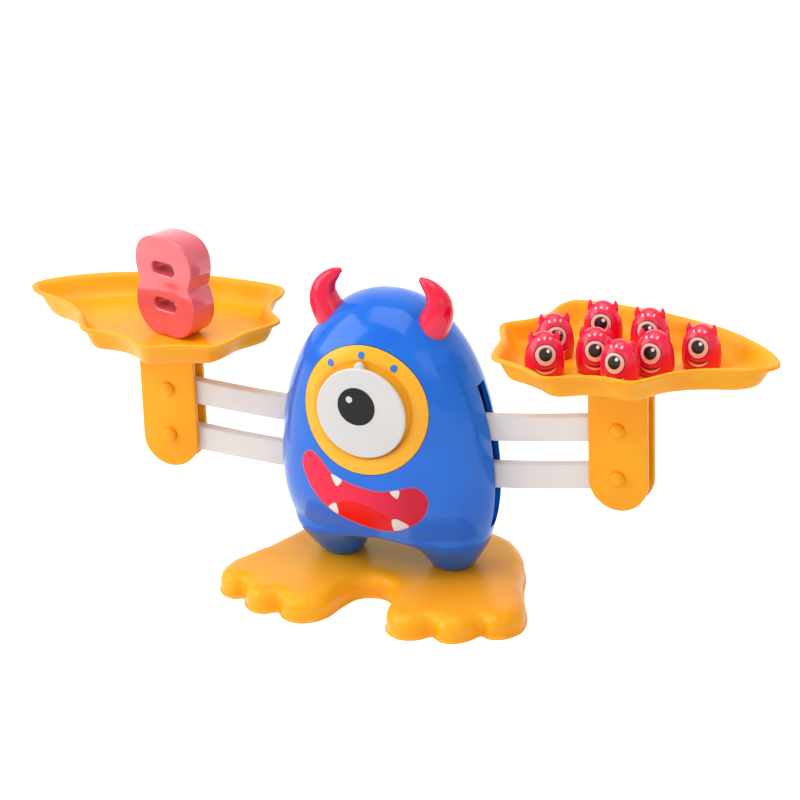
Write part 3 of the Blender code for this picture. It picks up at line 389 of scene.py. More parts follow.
class Finish(Enum):
    """The finishes of the balance, by what they go on."""

    ORANGE = MouldedPlastic("orange_satin", (0.98, 0.42, 0.006), (0.96, 0.36, 0.003), 0.32, 0.0, 0.035, 0.25)
    BLUE = MouldedPlastic("blue_gloss", (0.001, 0.150, 0.72), (0.001, 0.125, 0.65), 0.16, 0.30, 0.01, 0.18)
    YELLOW = MouldedPlastic("ring_yellow", (0.98, 0.47, 0.022), (0.96, 0.42, 0.016), 0.28, 0.15, 0.02, 0.25)
    MARK = MouldedPlastic("mark_blue", (0.022, 0.19, 0.62), (0.018, 0.16, 0.55), 0.26, 0.3)
    RED = MouldedPlastic("horn_red", (0.90, 0.003, 0.055), (0.83, 0.002, 0.038), 0.18, 0.5, 0.02, 0.2)
    WHITE = MouldedPlastic("beam_white", (0.80, 0.775, 0.765), (0.77, 0.745, 0.73), 0.36, 0.1, 0.03)
    DISC = MouldedPlastic("eye_white", (0.69, 0.675, 0.665), (0.66, 0.645, 0.635), 0.34, 0.1, 0.03, 0.25)
    PUPIL = MouldedPlastic("pupil_black", (0.012, 0.012, 0.012), (0.008, 0.008, 0.008), 0.34, 0.0, 0.02, 0.2)
    PINK = MouldedPlastic("number_pink", (0.76, 0.115, 0.145), (0.70, 0.085, 0.120), 0.10, 0.8, 0.01, 0.35)
    # The second colour of each print is a painted shade, reached towards +X, away from the key light.
    GUM = PrintedInk("mouth_red", (0.86, 0.022, 0.070), (0.58, 0.008, 0.035), -0.010, 0.030)
    TONGUE = PrintedInk("tongue_red", (0.84, 0.003, 0.003), (0.72, 0.002, 0.002), -0.010, 0.016)
    TOOTH = PrintedInk("tooth_white", (0.82, 0.79, 0.74), (0.72, 0.68, 0.64), -0.020, 0.030)
    LINE = PrintedInk("mouth_line", (0.45, 0.20, 0.45), (0.30, 0.12, 0.36), -0.020, 0.030)
    STEEL = TurnedSteel("steel")
    COUNTER = CounterPaint("counter_face")
    FLOOR = StudioFloor("studio_floor")


class Paints:
    """The materials in use, each made once."""

    made: dict[Finish, bpy.types.Material] = {}

    @classmethod
    def of(cls, finish: Finish) -> bpy.types.Material:
        """The material of a finish."""
        if finish not in cls.made:
            cls.made[finish] = finish.value.made()
        return cls.made[finish]


def linked(name: str, data: Any) -> bpy.types.Object:
    """A new object of some data, in the scene."""
    obj = bpy.data.objects.new(name, data)
    bpy.context.scene.collection.objects.link(obj)
    return obj


def from_bmesh(name: str, bm: bmesh.types.BMesh, outward: bool = True) -> bpy.types.Object:
    """An object from a bmesh.

    Args:
        name: the object's name.
        bm: the faces, freed here.
        outward: whether to turn the faces of a simple closed body outwards.

    Returns:
        The object, at the origin.
    """
    bmesh.ops.remove_doubles(bm, verts=bm.verts, dist=0.001 * MM)
    if outward:
        bmesh.ops.recalc_face_normals(bm, faces=bm.faces)
    mesh = bpy.data.meshes.new(name)
    bm.to_mesh(mesh)
    bm.free()
    return linked(name, mesh)


def settled(obj: bpy.types.Object) -> bpy.types.Object:
    """The object as one plain mesh at the origin, with its curve and modifiers worked out."""
    bpy.context.view_layer.update()
    evaluated = obj.evaluated_get(bpy.context.evaluated_depsgraph_get())
    mesh = bpy.data.meshes.new_from_object(evaluated)
    mesh.transform(obj.matrix_world)
    name = obj.name
    bpy.data.objects.remove(obj, do_unlink=True)
    mesh.name = name
    fresh = linked(name, mesh)
    fresh.name = name
    return fresh


def moved(obj: bpy.types.Object, matrix: Matrix) -> bpy.types.Object:
    """The object with a matrix worked into its mesh."""
    obj.data.transform(matrix)
    if matrix.is_negative:
        obj.data.flip_normals()
    return obj


def joined(name: str, pieces: Sequence[bpy.types.Object]) -> bpy.types.Object:
    """Several meshes as one object, each keeping its material."""
    bm = bmesh.new()
    materials: list[bpy.types.Material] = []
    for piece in pieces:
        start = len(bm.faces)
        bm.from_mesh(piece.data)
        bm.faces.ensure_lookup_table()
        for face in bm.faces[start:]:
            own = piece.data.materials[face.material_index] if piece.data.materials else None
            if own is not None and own not in materials:
                materials.append(own)
            face.material_index = materials.index(own) if own is not None else 0
    for piece in pieces:
        bpy.data.objects.remove(piece, do_unlink=True)
    mesh = bpy.data.meshes.new(name)
    bm.to_mesh(mesh)
    bm.free()
    for material in materials:
        mesh.materials.append(material)
    return linked(name, mesh)


def shaded(obj: bpy.types.Object, angle: float = 30.0) -> bpy.types.Object:
    """The object shaded smooth but for edges sharper than an angle in degrees."""
    obj.data.shade_smooth()
    obj.data.set_sharp_from_angle(angle=math.radians(angle))
    return obj


def painted(obj: bpy.types.Object, finish: Finish) -> bpy.types.Object:
    """The object in one finish."""
    obj.data.materials.clear()
    obj.data.materials.append(Paints.of(finish))
    return obj


def shown(obj: bpy.types.Object, body: str, slot: str, *nodes: str) -> bpy.types.Object:
    """Let a finished piece ride on a body and stand for CAD nodes.

    Args:
        obj: the finished piece.
        body: the body that it moves with.
        slot: the record's material slot, which is not used.
        nodes: the CAD nodes that it stands for.

    Returns:
        The piece.
    """
    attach(obj, body)
    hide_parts(*nodes)
    log.info("%s: %d faces, on %s, for %s", obj.name, len(obj.data.polygons), body, ", ".join(nodes))
    return obj


def foot_of(node: str) -> Vector:
    """The middle of the underside of a CAD node's box."""
    lowest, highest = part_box(node)
    middle = (lowest + highest) / 2
    return Vector((middle.x, middle.y, lowest.z))


def spun(degrees: float) -> Matrix:
    """A turn about the upright axis."""
    return Matrix.Rotation(math.radians(degrees), 4, "Z")


def around(count: int) -> list[float]:
    """Even turns round a full circle, in radians."""
    return [math.tau * k / count for k in range(count)]


def circle(centre: Vector, radius: float, count: int) -> Loop:
    """A round loop about a centre in metres, with its radius in millimetres."""
    return [centre + Vector((math.cos(a), math.sin(a))) * radius * MM for a in around(count)]


def between(a: Vector, b: Vector, c: Vector, d: Vector, t: float) -> Vector:
    """The point at a share of the way from b to c on a smooth line through four points."""
    bend = (2 * a - 5 * b + 4 * c - d) * t * t
    return 0.5 * (2 * b + (c - a) * t + bend + (3 * b - a - 3 * c + d) * t ** 3)


def eased(loop: Loop) -> Loop:
    """A closed loop with each point drawn halfway to the middle of its neighbours."""
    return [(loop[i - 1] + 2 * p + loop[(i + 1) % len(loop)]) / 4 for i, p in enumerate(loop)]


def smooth_loop(points: Sequence[Flat], steps: int, rounds: int = 0) -> Loop:
    """A closed smooth line through points.

    Args:
        points: the points in millimetres.
        steps: new points for each given one.
        rounds: how many times the line is eased towards its neighbours, which softens its corners.

    Returns:
        The loop in metres.
    """
    loop: Loop = []
    count = len(points)
    for i in range(count):
        a, b, c, d = (Vector(points[(i + k) % count]) * MM for k in (-1, 0, 1, 2))
        loop += [between(a, b, c, d, k / steps) for k in range(steps)]
    for _ in range(rounds):
        loop = eased(loop)
    return loop


def both_sides(half: Sequence[Flat]) -> list[Flat]:
    """The whole outline from its right half, whose ends are on the middle line."""
    return list(half) + [(-x, y) for x, y in reversed(half[1:-1])]


def inset(loop: Loop, distance: float) -> Loop:
    """A closed loop moved inwards by a distance."""
    area = sum(a.x * b.y - b.x * a.y for a, b in zip(loop, loop[1:] + loop[:1]))
    side = math.copysign(1.0, area)
    result = []
    for i, point in enumerate(loop):
        along = (loop[(i + 1) % len(loop)] - loop[i - 1]).normalized()
        result.append(point + Vector((-along.y, along.x)) * distance * side)
    return result


def lofted(name: str, rings: Sequence[Sequence[Vector]], capped: bool = True) -> bpy.types.Object:
    """A skin through closed rings; a ring of one point is a pole.

    Args:
        name: the object's name.
        rings: rings of equal counts, or single points.
        capped: whether a first or last ring of several points is closed with a face.

    Returns:
        The object.
    """
    bm = bmesh.new()
    rows = [[bm.verts.new(point) for point in ring] for ring in rings]
    for low, high in zip(rows, rows[1:]):
        count = max(len(low), len(high))
        for i in range(count):
            j = (i + 1) % count
            if len(low) == 1:
                bm.faces.new((low[0], high[j], high[i]))
            elif len(high) == 1:
                bm.faces.new((low[i], low[j], high[0]))
            else:
                bm.faces.new((low[i], low[j], high[j], high[i]))
    if capped and len(rows[0]) > 1:
        bm.faces.new(reversed(rows[0]))
    if capped and len(rows[-1]) > 1:
        bm.faces.new(rows[-1])
    return from_bmesh(name, bm)


def turned(name: str, profile: Sequence[Flat], sides: int = 48, flat: float = 1.0) -> bpy.types.Object:
    """A turned body on the Z axis.

    Args:
        name: the object's name.
        profile: radius and height in millimetres, from pole to pole.
        sides: points round it.
        flat: its depth along Y as a share of its width.

    Returns:
        The object.
    """
    rings = []
    for radius, height in profile:
        if radius <= 0.0:
            rings.append([Vector((0.0, 0.0, height * MM))])
            continue
        lift = Vector((0, 0, height * MM))
        rings.append([Vector((math.cos(a), math.sin(a) * flat, 0.0)) * radius * MM + lift
                      for a in around(sides)])
    return lofted(name, rings)


def rounded(points: Sequence[Flat], radius: float, steps: int = 4) -> list[Flat]:
    """An open profile with the corners between its ends rounded.

    Args:
        points: the profile in millimetres.
        radius: how far from a corner its rounding starts.
        steps: pieces in each rounding.

    Returns:
        The profile with its new points.
    """
    result = [tuple(points[0])]
    for before, corner, after in zip(points, points[1:], points[2:]):
        c = Vector(corner)
        back, ahead = Vector(before) - c, Vector(after) - c
        reach = min(radius, back.length * 0.49, ahead.length * 0.49)
        a, b = c + back.normalized() * reach, c + ahead.normalized() * reach
        for k in range(steps + 1):
            t = k / steps
            result.append(tuple((1 - t) ** 2 * a + 2 * t * (1 - t) * c + t * t * b))
    return result + [tuple(points[-1])]


def plate(name: str, loops: Sequence[Loop], low: float, high: float, rounding: float,
          upright: bool = True, steps: int = 3) -> bpy.types.Object:
    """A flat plate with rounded edges.

    Args:
        name: the object's name.
        loops: its outline, anticlockwise, and then any holes in it, all in metres.
        low: where it starts along its thickness.
        high: where it ends.
        rounding: the radius of its edges.
        upright: whether it faces the front rather than up.
        steps: pieces in each rounding.

    Returns:
        The object.
    """
    curve = bpy.data.curves.new(name, "CURVE")
    curve.dimensions = "2D"
    curve.fill_mode = "BOTH"
    curve.extrude = (high - low) / 2 - rounding
    curve.bevel_depth = rounding
    curve.bevel_resolution = steps
    for number, loop in enumerate(loops):
        line = inset(loop, rounding if number == 0 else -rounding)
        spline = curve.splines.new("POLY")
        spline.use_cyclic_u = True
        spline.points.add(len(line) - 1)
        for point, place in zip(spline.points, line if number == 0 else reversed(line)):
            point.co = (place.x, place.y, 0.0, 1.0)
    obj = linked(name, curve)
    turn = FACING if upright else Matrix.Identity(4)
    shift = Vector((0, (low + high) / 2, 0)) if upright else Vector((0, 0, (low + high) / 2))
    obj.matrix_world = Matrix.Translation(shift) @ turn
    obj = settled(obj)
    bm = bmesh.new()
    bm.from_mesh(obj.data)
    bmesh.ops.remove_doubles(bm, verts=bm.verts, dist=0.001 * MM)
    bm.to_mesh(obj.data)
    bm.free()
    return obj


def rod(name: str, start: Sequence[float], length: float, radius: float, sides: int = 48) -> bpy.types.Object:
    """A plain rod along +Y for cutting, with its sizes in metres."""
    bm = bmesh.new()
    bmesh.ops.create_cone(bm, cap_ends=True, segments=sides, radius1=radius, radius2=radius, depth=length)
    turn = Matrix.Translation((start[0], start[1] + length / 2, start[2])) @ FACING
    bmesh.ops.transform(bm, matrix=turn, verts=bm.verts)
    return from_bmesh(name, bm)


def block(name: str, low: Sequence[float], high: Sequence[float]) -> bpy.types.Object:
    """A plain box for cutting, between two corners in metres."""
    low, high = Vector(low), Vector(high)
    bm = bmesh.new()
    bmesh.ops.create_cube(bm, size=1.0)
    bmesh.ops.scale(bm, vec=high - low, verts=bm.verts)
    bmesh.ops.translate(bm, vec=(low + high) / 2, verts=bm.verts)
    return from_bmesh(name, bm)


def worked(obj: bpy.types.Object, others: Sequence[bpy.types.Object]) -> bpy.types.Object:
    """An object with others cut out of it, which are used up.

    Args:
        obj: the body that is worked on.
        others: the cutters.

    Returns:
        The result as a plain mesh.
    """
    for other in others:
        modifier = obj.modifiers.new("work", "BOOLEAN")
        modifier.operation = "DIFFERENCE"
        modifier.object = other
    obj = settled(obj)
    for other in others:
        bpy.data.objects.remove(other, do_unlink=True)
    return obj


def halved(obj: bpy.types.Object, cut: float, side: int) -> bpy.types.Object:
    """The part of a closed body on one side of a plane across Y.

    Args:
        obj: the body, which is changed.
        cut: where the plane lies, in metres.
        side: which side stays, -1 for the front or 1 for the rear.

    Returns:
        The same object, closed at the cut.
    """
    bm = bmesh.new()
    bm.from_mesh(obj.data)
    bmesh.ops.bisect_plane(bm, geom=bm.verts[:] + bm.edges[:] + bm.faces[:], dist=0.0001 * MM,
                           plane_co=(0, cut, 0), plane_no=(0, -side, 0), clear_outer=True)
    rim = [edge for edge in bm.edges if len(edge.link_faces) == 1]
    bmesh.ops.triangle_fill(bm, edges=rim, use_beauty=True, normal=(0, -side, 0))
    bmesh.ops.recalc_face_normals(bm, faces=bm.faces)
    bm.to_mesh(obj.data)
    bm.free()
    return obj


class GeometryRule:
    """A geometry node tree with named inputs, which is run once on an object."""

    def __init__(self, name: str, inputs: dict[str, tuple[str, Any]]) -> None:
        """Start the tree.

        Args:
            name: the tree's name.
            inputs: socket type and default value by input name.
        """
        self.tree = bpy.data.node_groups.new(name, "GeometryNodeTree")
        self.sheet = Sheet(self.tree)
        sockets = self.tree.interface
        sockets.new_socket("Geometry", in_out="OUTPUT", socket_type="NodeSocketGeometry")
        sockets.new_socket("Geometry", in_out="INPUT", socket_type="NodeSocketGeometry")
        for key, (kind, value) in inputs.items():
            item = sockets.new_socket(key, in_out="INPUT", socket_type=kind)
            if value is not None:
                item.default_value = value
        self.source = self.tree.nodes.new("NodeGroupInput")
        self.end = self.tree.nodes.new("NodeGroupOutput")

    def given(self, name: str) -> Signal:
        """The signal of a named input."""
        return Signal(self.sheet, self.source.outputs[name])

    def closed(self, geometry: Signal) -> None:
        """End the tree: instances made real, then the material set."""
        real = self.sheet.node("GeometryNodeRealizeInstances", {}, {0: geometry})
        inputs = {"Geometry": real, "Material": self.given("Material")}
        dressed = self.sheet.node("GeometryNodeSetMaterial", {}, inputs)
        self.tree.links.new(dressed.socket, self.end.inputs[0])

    def run(self, name: str, base: bpy.types.Mesh, values: dict[str, Any]) -> bpy.types.Object:
        """Run the tree on a base mesh.

        Args:
            name: the new object's name.
            base: the mesh that goes in.
            values: the values of the named inputs.

        Returns:
            The result as a plain mesh object.
        """
        obj = linked(name, base)
        modifier = obj.modifiers.new(self.tree.name, "NODES")
        modifier.node_group = self.tree
        keys = {item.name: item.identifier for item in self.tree.interface.items_tree
                if item.item_type == "SOCKET" and item.in_out == "INPUT"}
        for key, value in values.items():
            modifier[keys[key]] = value
        return settled(obj)


class Repeater(GeometryRule):
    """Copies of one shape on points, each turned about an axis by its own seeded amount."""

    def __init__(self) -> None:
        """Build the tree."""
        super().__init__("repeat_on_points", {
            "Shape": ("NodeSocketObject", None), "Axis": ("NodeSocketVector", (0.0, 0.0, 1.0)),
            "Spread": ("NodeSocketFloat", 0.0), "Seed": ("NodeSocketInt", SEED),
            "Material": ("NodeSocketMaterial", None)})
        shape = self.sheet.node("GeometryNodeObjectInfo", {}, {"Object": self.given("Shape")}, "Geometry")
        spin = self.sheet.node("FunctionNodeRandomValue", {"data_type": "FLOAT"},
                               {2: 0.0, 3: self.given("Spread"), "Seed": self.given("Seed")}, 1)
        turn = self.sheet.node("FunctionNodeAxisAngleToRotation", {},
                               {"Axis": self.given("Axis"), "Angle": spin})
        copies = self.sheet.node("GeometryNodeInstanceOnPoints", {},
                                 {"Points": self.given("Geometry"), "Instance": shape, "Rotation": turn})
        self.closed(copies)

    def copies(self, name: str, shape: bpy.types.Object, places: Iterable[Vector], finish: Finish,
               spread: float = 0.0) -> bpy.types.Object:
        """Repeat a shape, which is used up.

        Args:
            name: the new object's name.
            shape: the shape, modelled at the origin.
            places: where the copies go, in metres.
            finish: what they are made of.
            spread: the largest turn about the upright axis, in radians.

        Returns:
            One mesh object with all the copies.
        """
        points = bpy.data.meshes.new(name)
        points.from_pydata([tuple(place) for place in places], [], [])
        made = self.run(name, points, {"Shape": shape, "Axis": (0.0, 0.0, 1.0), "Spread": spread,
                                       "Seed": SEED, "Material": Paints.of(finish)})
        bpy.data.objects.remove(shape, do_unlink=True)
        return made


class BeamRule(GeometryRule):
    """A beam's bar: a rounded section along an arm line that bends up into a raised middle."""

    def __init__(self) -> None:
        """Build the tree."""
        sizes = ("Length", "Bend", "Drop", "Crank", "Depth", "Thickness", "Edge")
        inputs: dict[str, tuple[str, Any]] = {key: ("NodeSocketFloat", 0.01) for key in sizes}
        inputs["Points"] = ("NodeSocketInt", 121)
        inputs["Material"] = ("NodeSocketMaterial", None)
        super().__init__("beam_bar", inputs)
        sheet = self.sheet
        length, bend, drop, crank = (self.given(key) for key in sizes[:4])
        count = self.given("Points")
        start = sheet.node("ShaderNodeCombineXYZ", {}, {0: 0.0 - length})
        step = sheet.node("ShaderNodeCombineXYZ", {}, {0: length * 2.0 / (count - 1.0)})
        line = sheet.node("GeometryNodeMeshLine", {},
                          {"Count": count, "Start Location": start, "Offset": step})
        x = sheet.node("GeometryNodeInputPosition").parts()[0]
        arm = (x * x - length * length) / (bend * 2.0)
        rise = drop + length * length / (bend * 2.0)
        hump = rise * ((x / crank * math.pi).cosine() + 1.0) * 0.5 * x.absolute().under(crank)
        place = sheet.node("ShaderNodeCombineXYZ", {}, {0: x, 2: arm + hump - drop})
        line = sheet.node("GeometryNodeSetPosition", {}, {"Geometry": line, "Position": place})
        spine = sheet.node("GeometryNodeMeshToCurve", {}, {0: line})
        spine = sheet.node("GeometryNodeSetCurveNormal", {"mode": "Z_UP"}, {0: spine})
        section = sheet.node("GeometryNodeCurvePrimitiveQuadrilateral", {},
                             {"Width": self.given("Thickness"), "Height": self.given("Depth")})
        section = sheet.node("GeometryNodeFilletCurve", {"mode": "POLY"}, {
            "Curve": section, "Count": 5, "Radius": self.given("Edge"), "Limit Radius": True})
        bar = sheet.node("GeometryNodeCurveToMesh", {},
                         {"Curve": spine, "Profile Curve": section, "Fill Caps": True})
        self.closed(bar)


@dataclass
class Linkage:
    """The joints' places, read from the frame, and the moves from the level balance to the rest pose."""

    arm: float = 120.0
    drop: float = 9.8
    spacing: float = 25.0

    def __post_init__(self) -> None:
        """Read the hinges and work out the tilt at rest."""
        places = {joint["name"]: Vector(joint["pos_m"]) for joint in frame["joints"] if "pos_m" in joint}
        self.pivot = places["beam_tilt"]
        self.low_pivot = places["lower_beam_tilt"]
        reach = places["right_pan_level"] - self.pivot
        self.tilt = math.atan2(reach.z, reach.x) - math.atan2(-self.drop, self.arm)
        self.shift = {side: places[name] - self.pivot - Vector((side * self.arm, 0, -self.drop)) * MM
                      for side, name in ((-1, "left_pan_level"), (1, "right_pan_level"))}

    def tilted(self, pivot: Vector) -> Matrix:
        """The turn of a level piece into the rest pose about a pivot."""
        return Matrix.Translation(pivot) @ Matrix.Rotation(-self.tilt, 4, "Y") @ Matrix.Translation(-pivot)

    def pin(self, side: int) -> Vector:
        """The upper end pin's place at rest, on the left (-1) or the right (1)."""
        return self.pivot + Vector((side * self.arm, 0, -self.drop)) * MM + self.shift[side]


@dataclass
class BodyForm:
    """The egg that divides into two legs: rows of height, half width, half depth, inner edge and middle."""

    sole: float = 12.3
    squareness: float = 2.2
    wall: float = 2.6
    rows: tuple[tuple[float, float, float, float, float], ...] = (
        (0.0, 39.4, 9.9, 20.6, 3.0), (1.3, 40.8, 11.3, 19.2, 3.0), (5.7, 44.0, 14.0, 16.8, 2.4),
        (11.2, 47.6, 17.4, 13.2, 1.4), (15.2, 49.6, 20.2, 8.0, 0.6), (17.3, 50.4, 21.6, 2.0, 0.2),
        (18.9, 51.1, 22.8, -7.0, -0.2), (20.5, 51.7, 23.9, -21.0, -0.5), (22.3, 52.3, 25.0, -38.0, -0.7),
        (24.5, 52.9, 26.2, -52.9, -0.9), (30.7, 54.5, 29.2, -54.5, -1.1), (39.7, 55.8, 32.2, -55.8, -1.3),
        (51.7, 56.3, 33.7, -56.3, -1.5), (64.7, 55.6, 34.1, -55.6, -1.5), (78.7, 53.8, 34.2, -53.8, -1.5),
        (91.7, 51.0, 34.0, -51.0, -1.5), (102.7, 47.4, 33.2, -47.4, -1.5), (112.7, 42.8, 31.5, -42.8, -1.5),
        (121.2, 37.5, 28.8, -37.5, -1.5), (128.7, 31.4, 25.0, -31.4, -1.3), (134.7, 25.1, 20.7, -25.1, -1.0),
        (139.1, 18.3, 15.7, -18.3, -0.8), (141.9, 10.2, 9.1, -10.2, -0.5), (142.7, 5.0, 4.6, -5.0, -0.5),
    )
    sides: int = 112
    steps: int = 4
    fine: list[tuple[float, ...]] = field(default_factory=list)

    def __post_init__(self) -> None:
        """Work out the fine rows once."""
        self.fine = self.fine_rows()

    def fine_rows(self) -> list[tuple[float, ...]]:
        """The rows with smooth ones between them."""
        result = []
        last = len(self.rows) - 1
        for i in range(last):
            a, b, c, d = (self.rows[min(max(i + k, 0), last)] for k in (-1, 0, 1, 2))
            for k in range(self.steps):
                t = k / self.steps
                h00, h10 = 2 * t ** 3 - 3 * t * t + 1, t ** 3 - 2 * t * t + t
                h01, h11 = 3 * t * t - 2 * t ** 3, t ** 3 - t * t
                span = c[0] - b[0]
                row = [b[0] + span * t]
                for j in range(1, 5):
                    m1 = (c[j] - a[j]) / max(c[0] - a[0], 1e-6) * span if i > 0 else c[j] - b[j]
                    m2 = (d[j] - b[j]) / max(d[0] - b[0], 1e-6) * span if i < last - 1 else c[j] - b[j]
                    row.append(h00 * b[j] + h10 * m1 + h01 * c[j] + h11 * m2)
                result.append(tuple(row))
        return result + [self.rows[-1]]

    def at(self, height: float) -> tuple[float, float, float]:
        """Half width, half depth and middle of the depth at a height over the floor, all in millimetres."""
        rows = self.fine
        height -= self.sole
        for low, high in zip(rows, rows[1:]):
            if height <= high[0]:
                t = max(0.0, (height - low[0]) / (high[0] - low[0]))
                return tuple(low[j] + (high[j] - low[j]) * t for j in (1, 2, 4))
        return rows[-1][1], rows[-1][2], rows[-1][4]

    def face(self, x: float, z: float, proud: float = 0.0) -> Vector:
        """The point of the body's front behind a front-view place in millimetres, moved out a little."""
        def depth(px: float, pz: float) -> float:
            """Where the front lies along Y at a place of the front view."""
            wide, deep, middle = self.at(pz)
            share = max(0.0, 1.0 - abs(px / wide) ** self.squareness)
            return middle - deep * share ** (1 / self.squareness)

        y = depth(x, z)
        slope_x = depth(x + 0.5, z) - depth(x - 0.5, z)
        slope_z = depth(x, z + 0.5) - depth(x, z - 0.5)
        normal = Vector((slope_x, -1.0, slope_z)).normalized()
        return (Vector((x, y, z)) + normal * proud) * MM

    def solid(self, name: str) -> bpy.types.Object:
        """The closed outer form."""
        power = 2 / self.squareness
        rings: list[list[Vector]] = []
        for height, outer, depth, inner, middle in self.fine:
            ring = []
            for turn in around(self.sides):
                across = math.copysign(abs(math.cos(turn)) ** power, math.cos(turn))
                along = math.copysign(abs(math.sin(turn)) ** power, math.sin(turn))
                x = (outer + inner) / 2 + (outer - inner) / 2 * across
                ring.append(Vector((x, middle + depth * along, self.sole + height)) * MM)
            rings.append(ring)
        rings.append([Vector((0, self.rows[-1][4], self.sole + self.rows[-1][0] + 0.25)) * MM])
        form = lofted(name, rings)
        mirror = form.modifiers.new("halves", "MIRROR")
        mirror.use_bisect_axis[0] = True
        mirror.bisect_threshold = 0.001 * MM
        mirror.merge_threshold = 0.01 * MM
        return settled(form)

    def offset(self, form: bpy.types.Object, name: str, distance: float) -> bpy.types.Object:
        """A copy of the form with its surface moved out, or in where the distance is negative."""
        copy = linked(name, form.data.copy())
        displace = copy.modifiers.new("grow", "DISPLACE")
        displace.mid_level = 0.0
        displace.strength = distance * MM
        return settled(copy)

    def patch(self, name: str, loop: Loop, low: float, high: float, cell: float = 2.0) -> bpy.types.Object:
        """A thin layer on the front of the body with an outline drawn on the front view.

        Args:
            name: the object's name.
            loop: the outline in metres, x and z.
            low: where the layer starts, in millimetres outwards from the surface.
            high: where it ends.
            cell: the spacing of the points inside it, in millimetres.

        Returns:
            The closed layer.
        """
        lows = [min(p[i] for p in loop) for i in (0, 1)]
        highs = [max(p[i] for p in loop) for i in (0, 1)]
        inner = []
        rim = inset(loop, 0.4 * cell * MM)
        u = lows[0]
        while u < highs[0]:
            v = lows[1]
            while v < highs[1]:
                if inside(Vector((u, v)), rim):
                    inner.append(Vector((u, v)))
                v += cell * MM
            u += cell * MM
        flat, faces = filled(loop, inner)
        bm = bmesh.new()
        top = [bm.verts.new(self.face(p.x / MM, p.y / MM, high)) for p in flat]
        base = [bm.verts.new(self.face(p.x / MM, p.y / MM, low)) for p in flat]
        for face in faces:
            bm.faces.new([top[i] for i in face])
            bm.faces.new([base[i] for i in reversed(face)])
        bm.edges.ensure_lookup_table()
        for i in range(len(loop)):
            j = (i + 1) % len(loop)
            bm.faces.new((top[i], top[j], base[j], base[i]))
        return from_bmesh(name, bm)


def filled(loop: Loop, inner: Sequence[Vector]) -> tuple[list[Vector], list[list[int]]]:
    """Triangles that fill a loop through points inside it, as points and their numbers."""
    edges = [(i, (i + 1) % len(loop)) for i in range(len(loop))]
    flat, _, faces, *_ = delaunay_2d_cdt(list(loop) + list(inner), edges, [], 1, 1e-7)
    return flat, faces


def distance(point: Vector, loop: Loop) -> float:
    """How far a point is from a closed line."""
    best = math.inf
    for a, b in zip(loop, loop[1:] + loop[:1]):
        way = b - a
        share = min(1.0, max(0.0, (point - a).dot(way) / max(way.length_squared, 1e-12)))
        best = min(best, (point - a - way * share).length)
    return best


def inside(point: Vector, loop: Loop) -> bool:
    """Whether a point lies inside a closed loop."""
    hit = False
    for a, b in zip(loop, loop[1:] + loop[:1]):
        if (a.y > point.y) != (b.y > point.y) and point.x < (b.x - a.x) * (point.y - a.y) / (b.y - a.y) + a.x:
            hit = not hit
    return hit


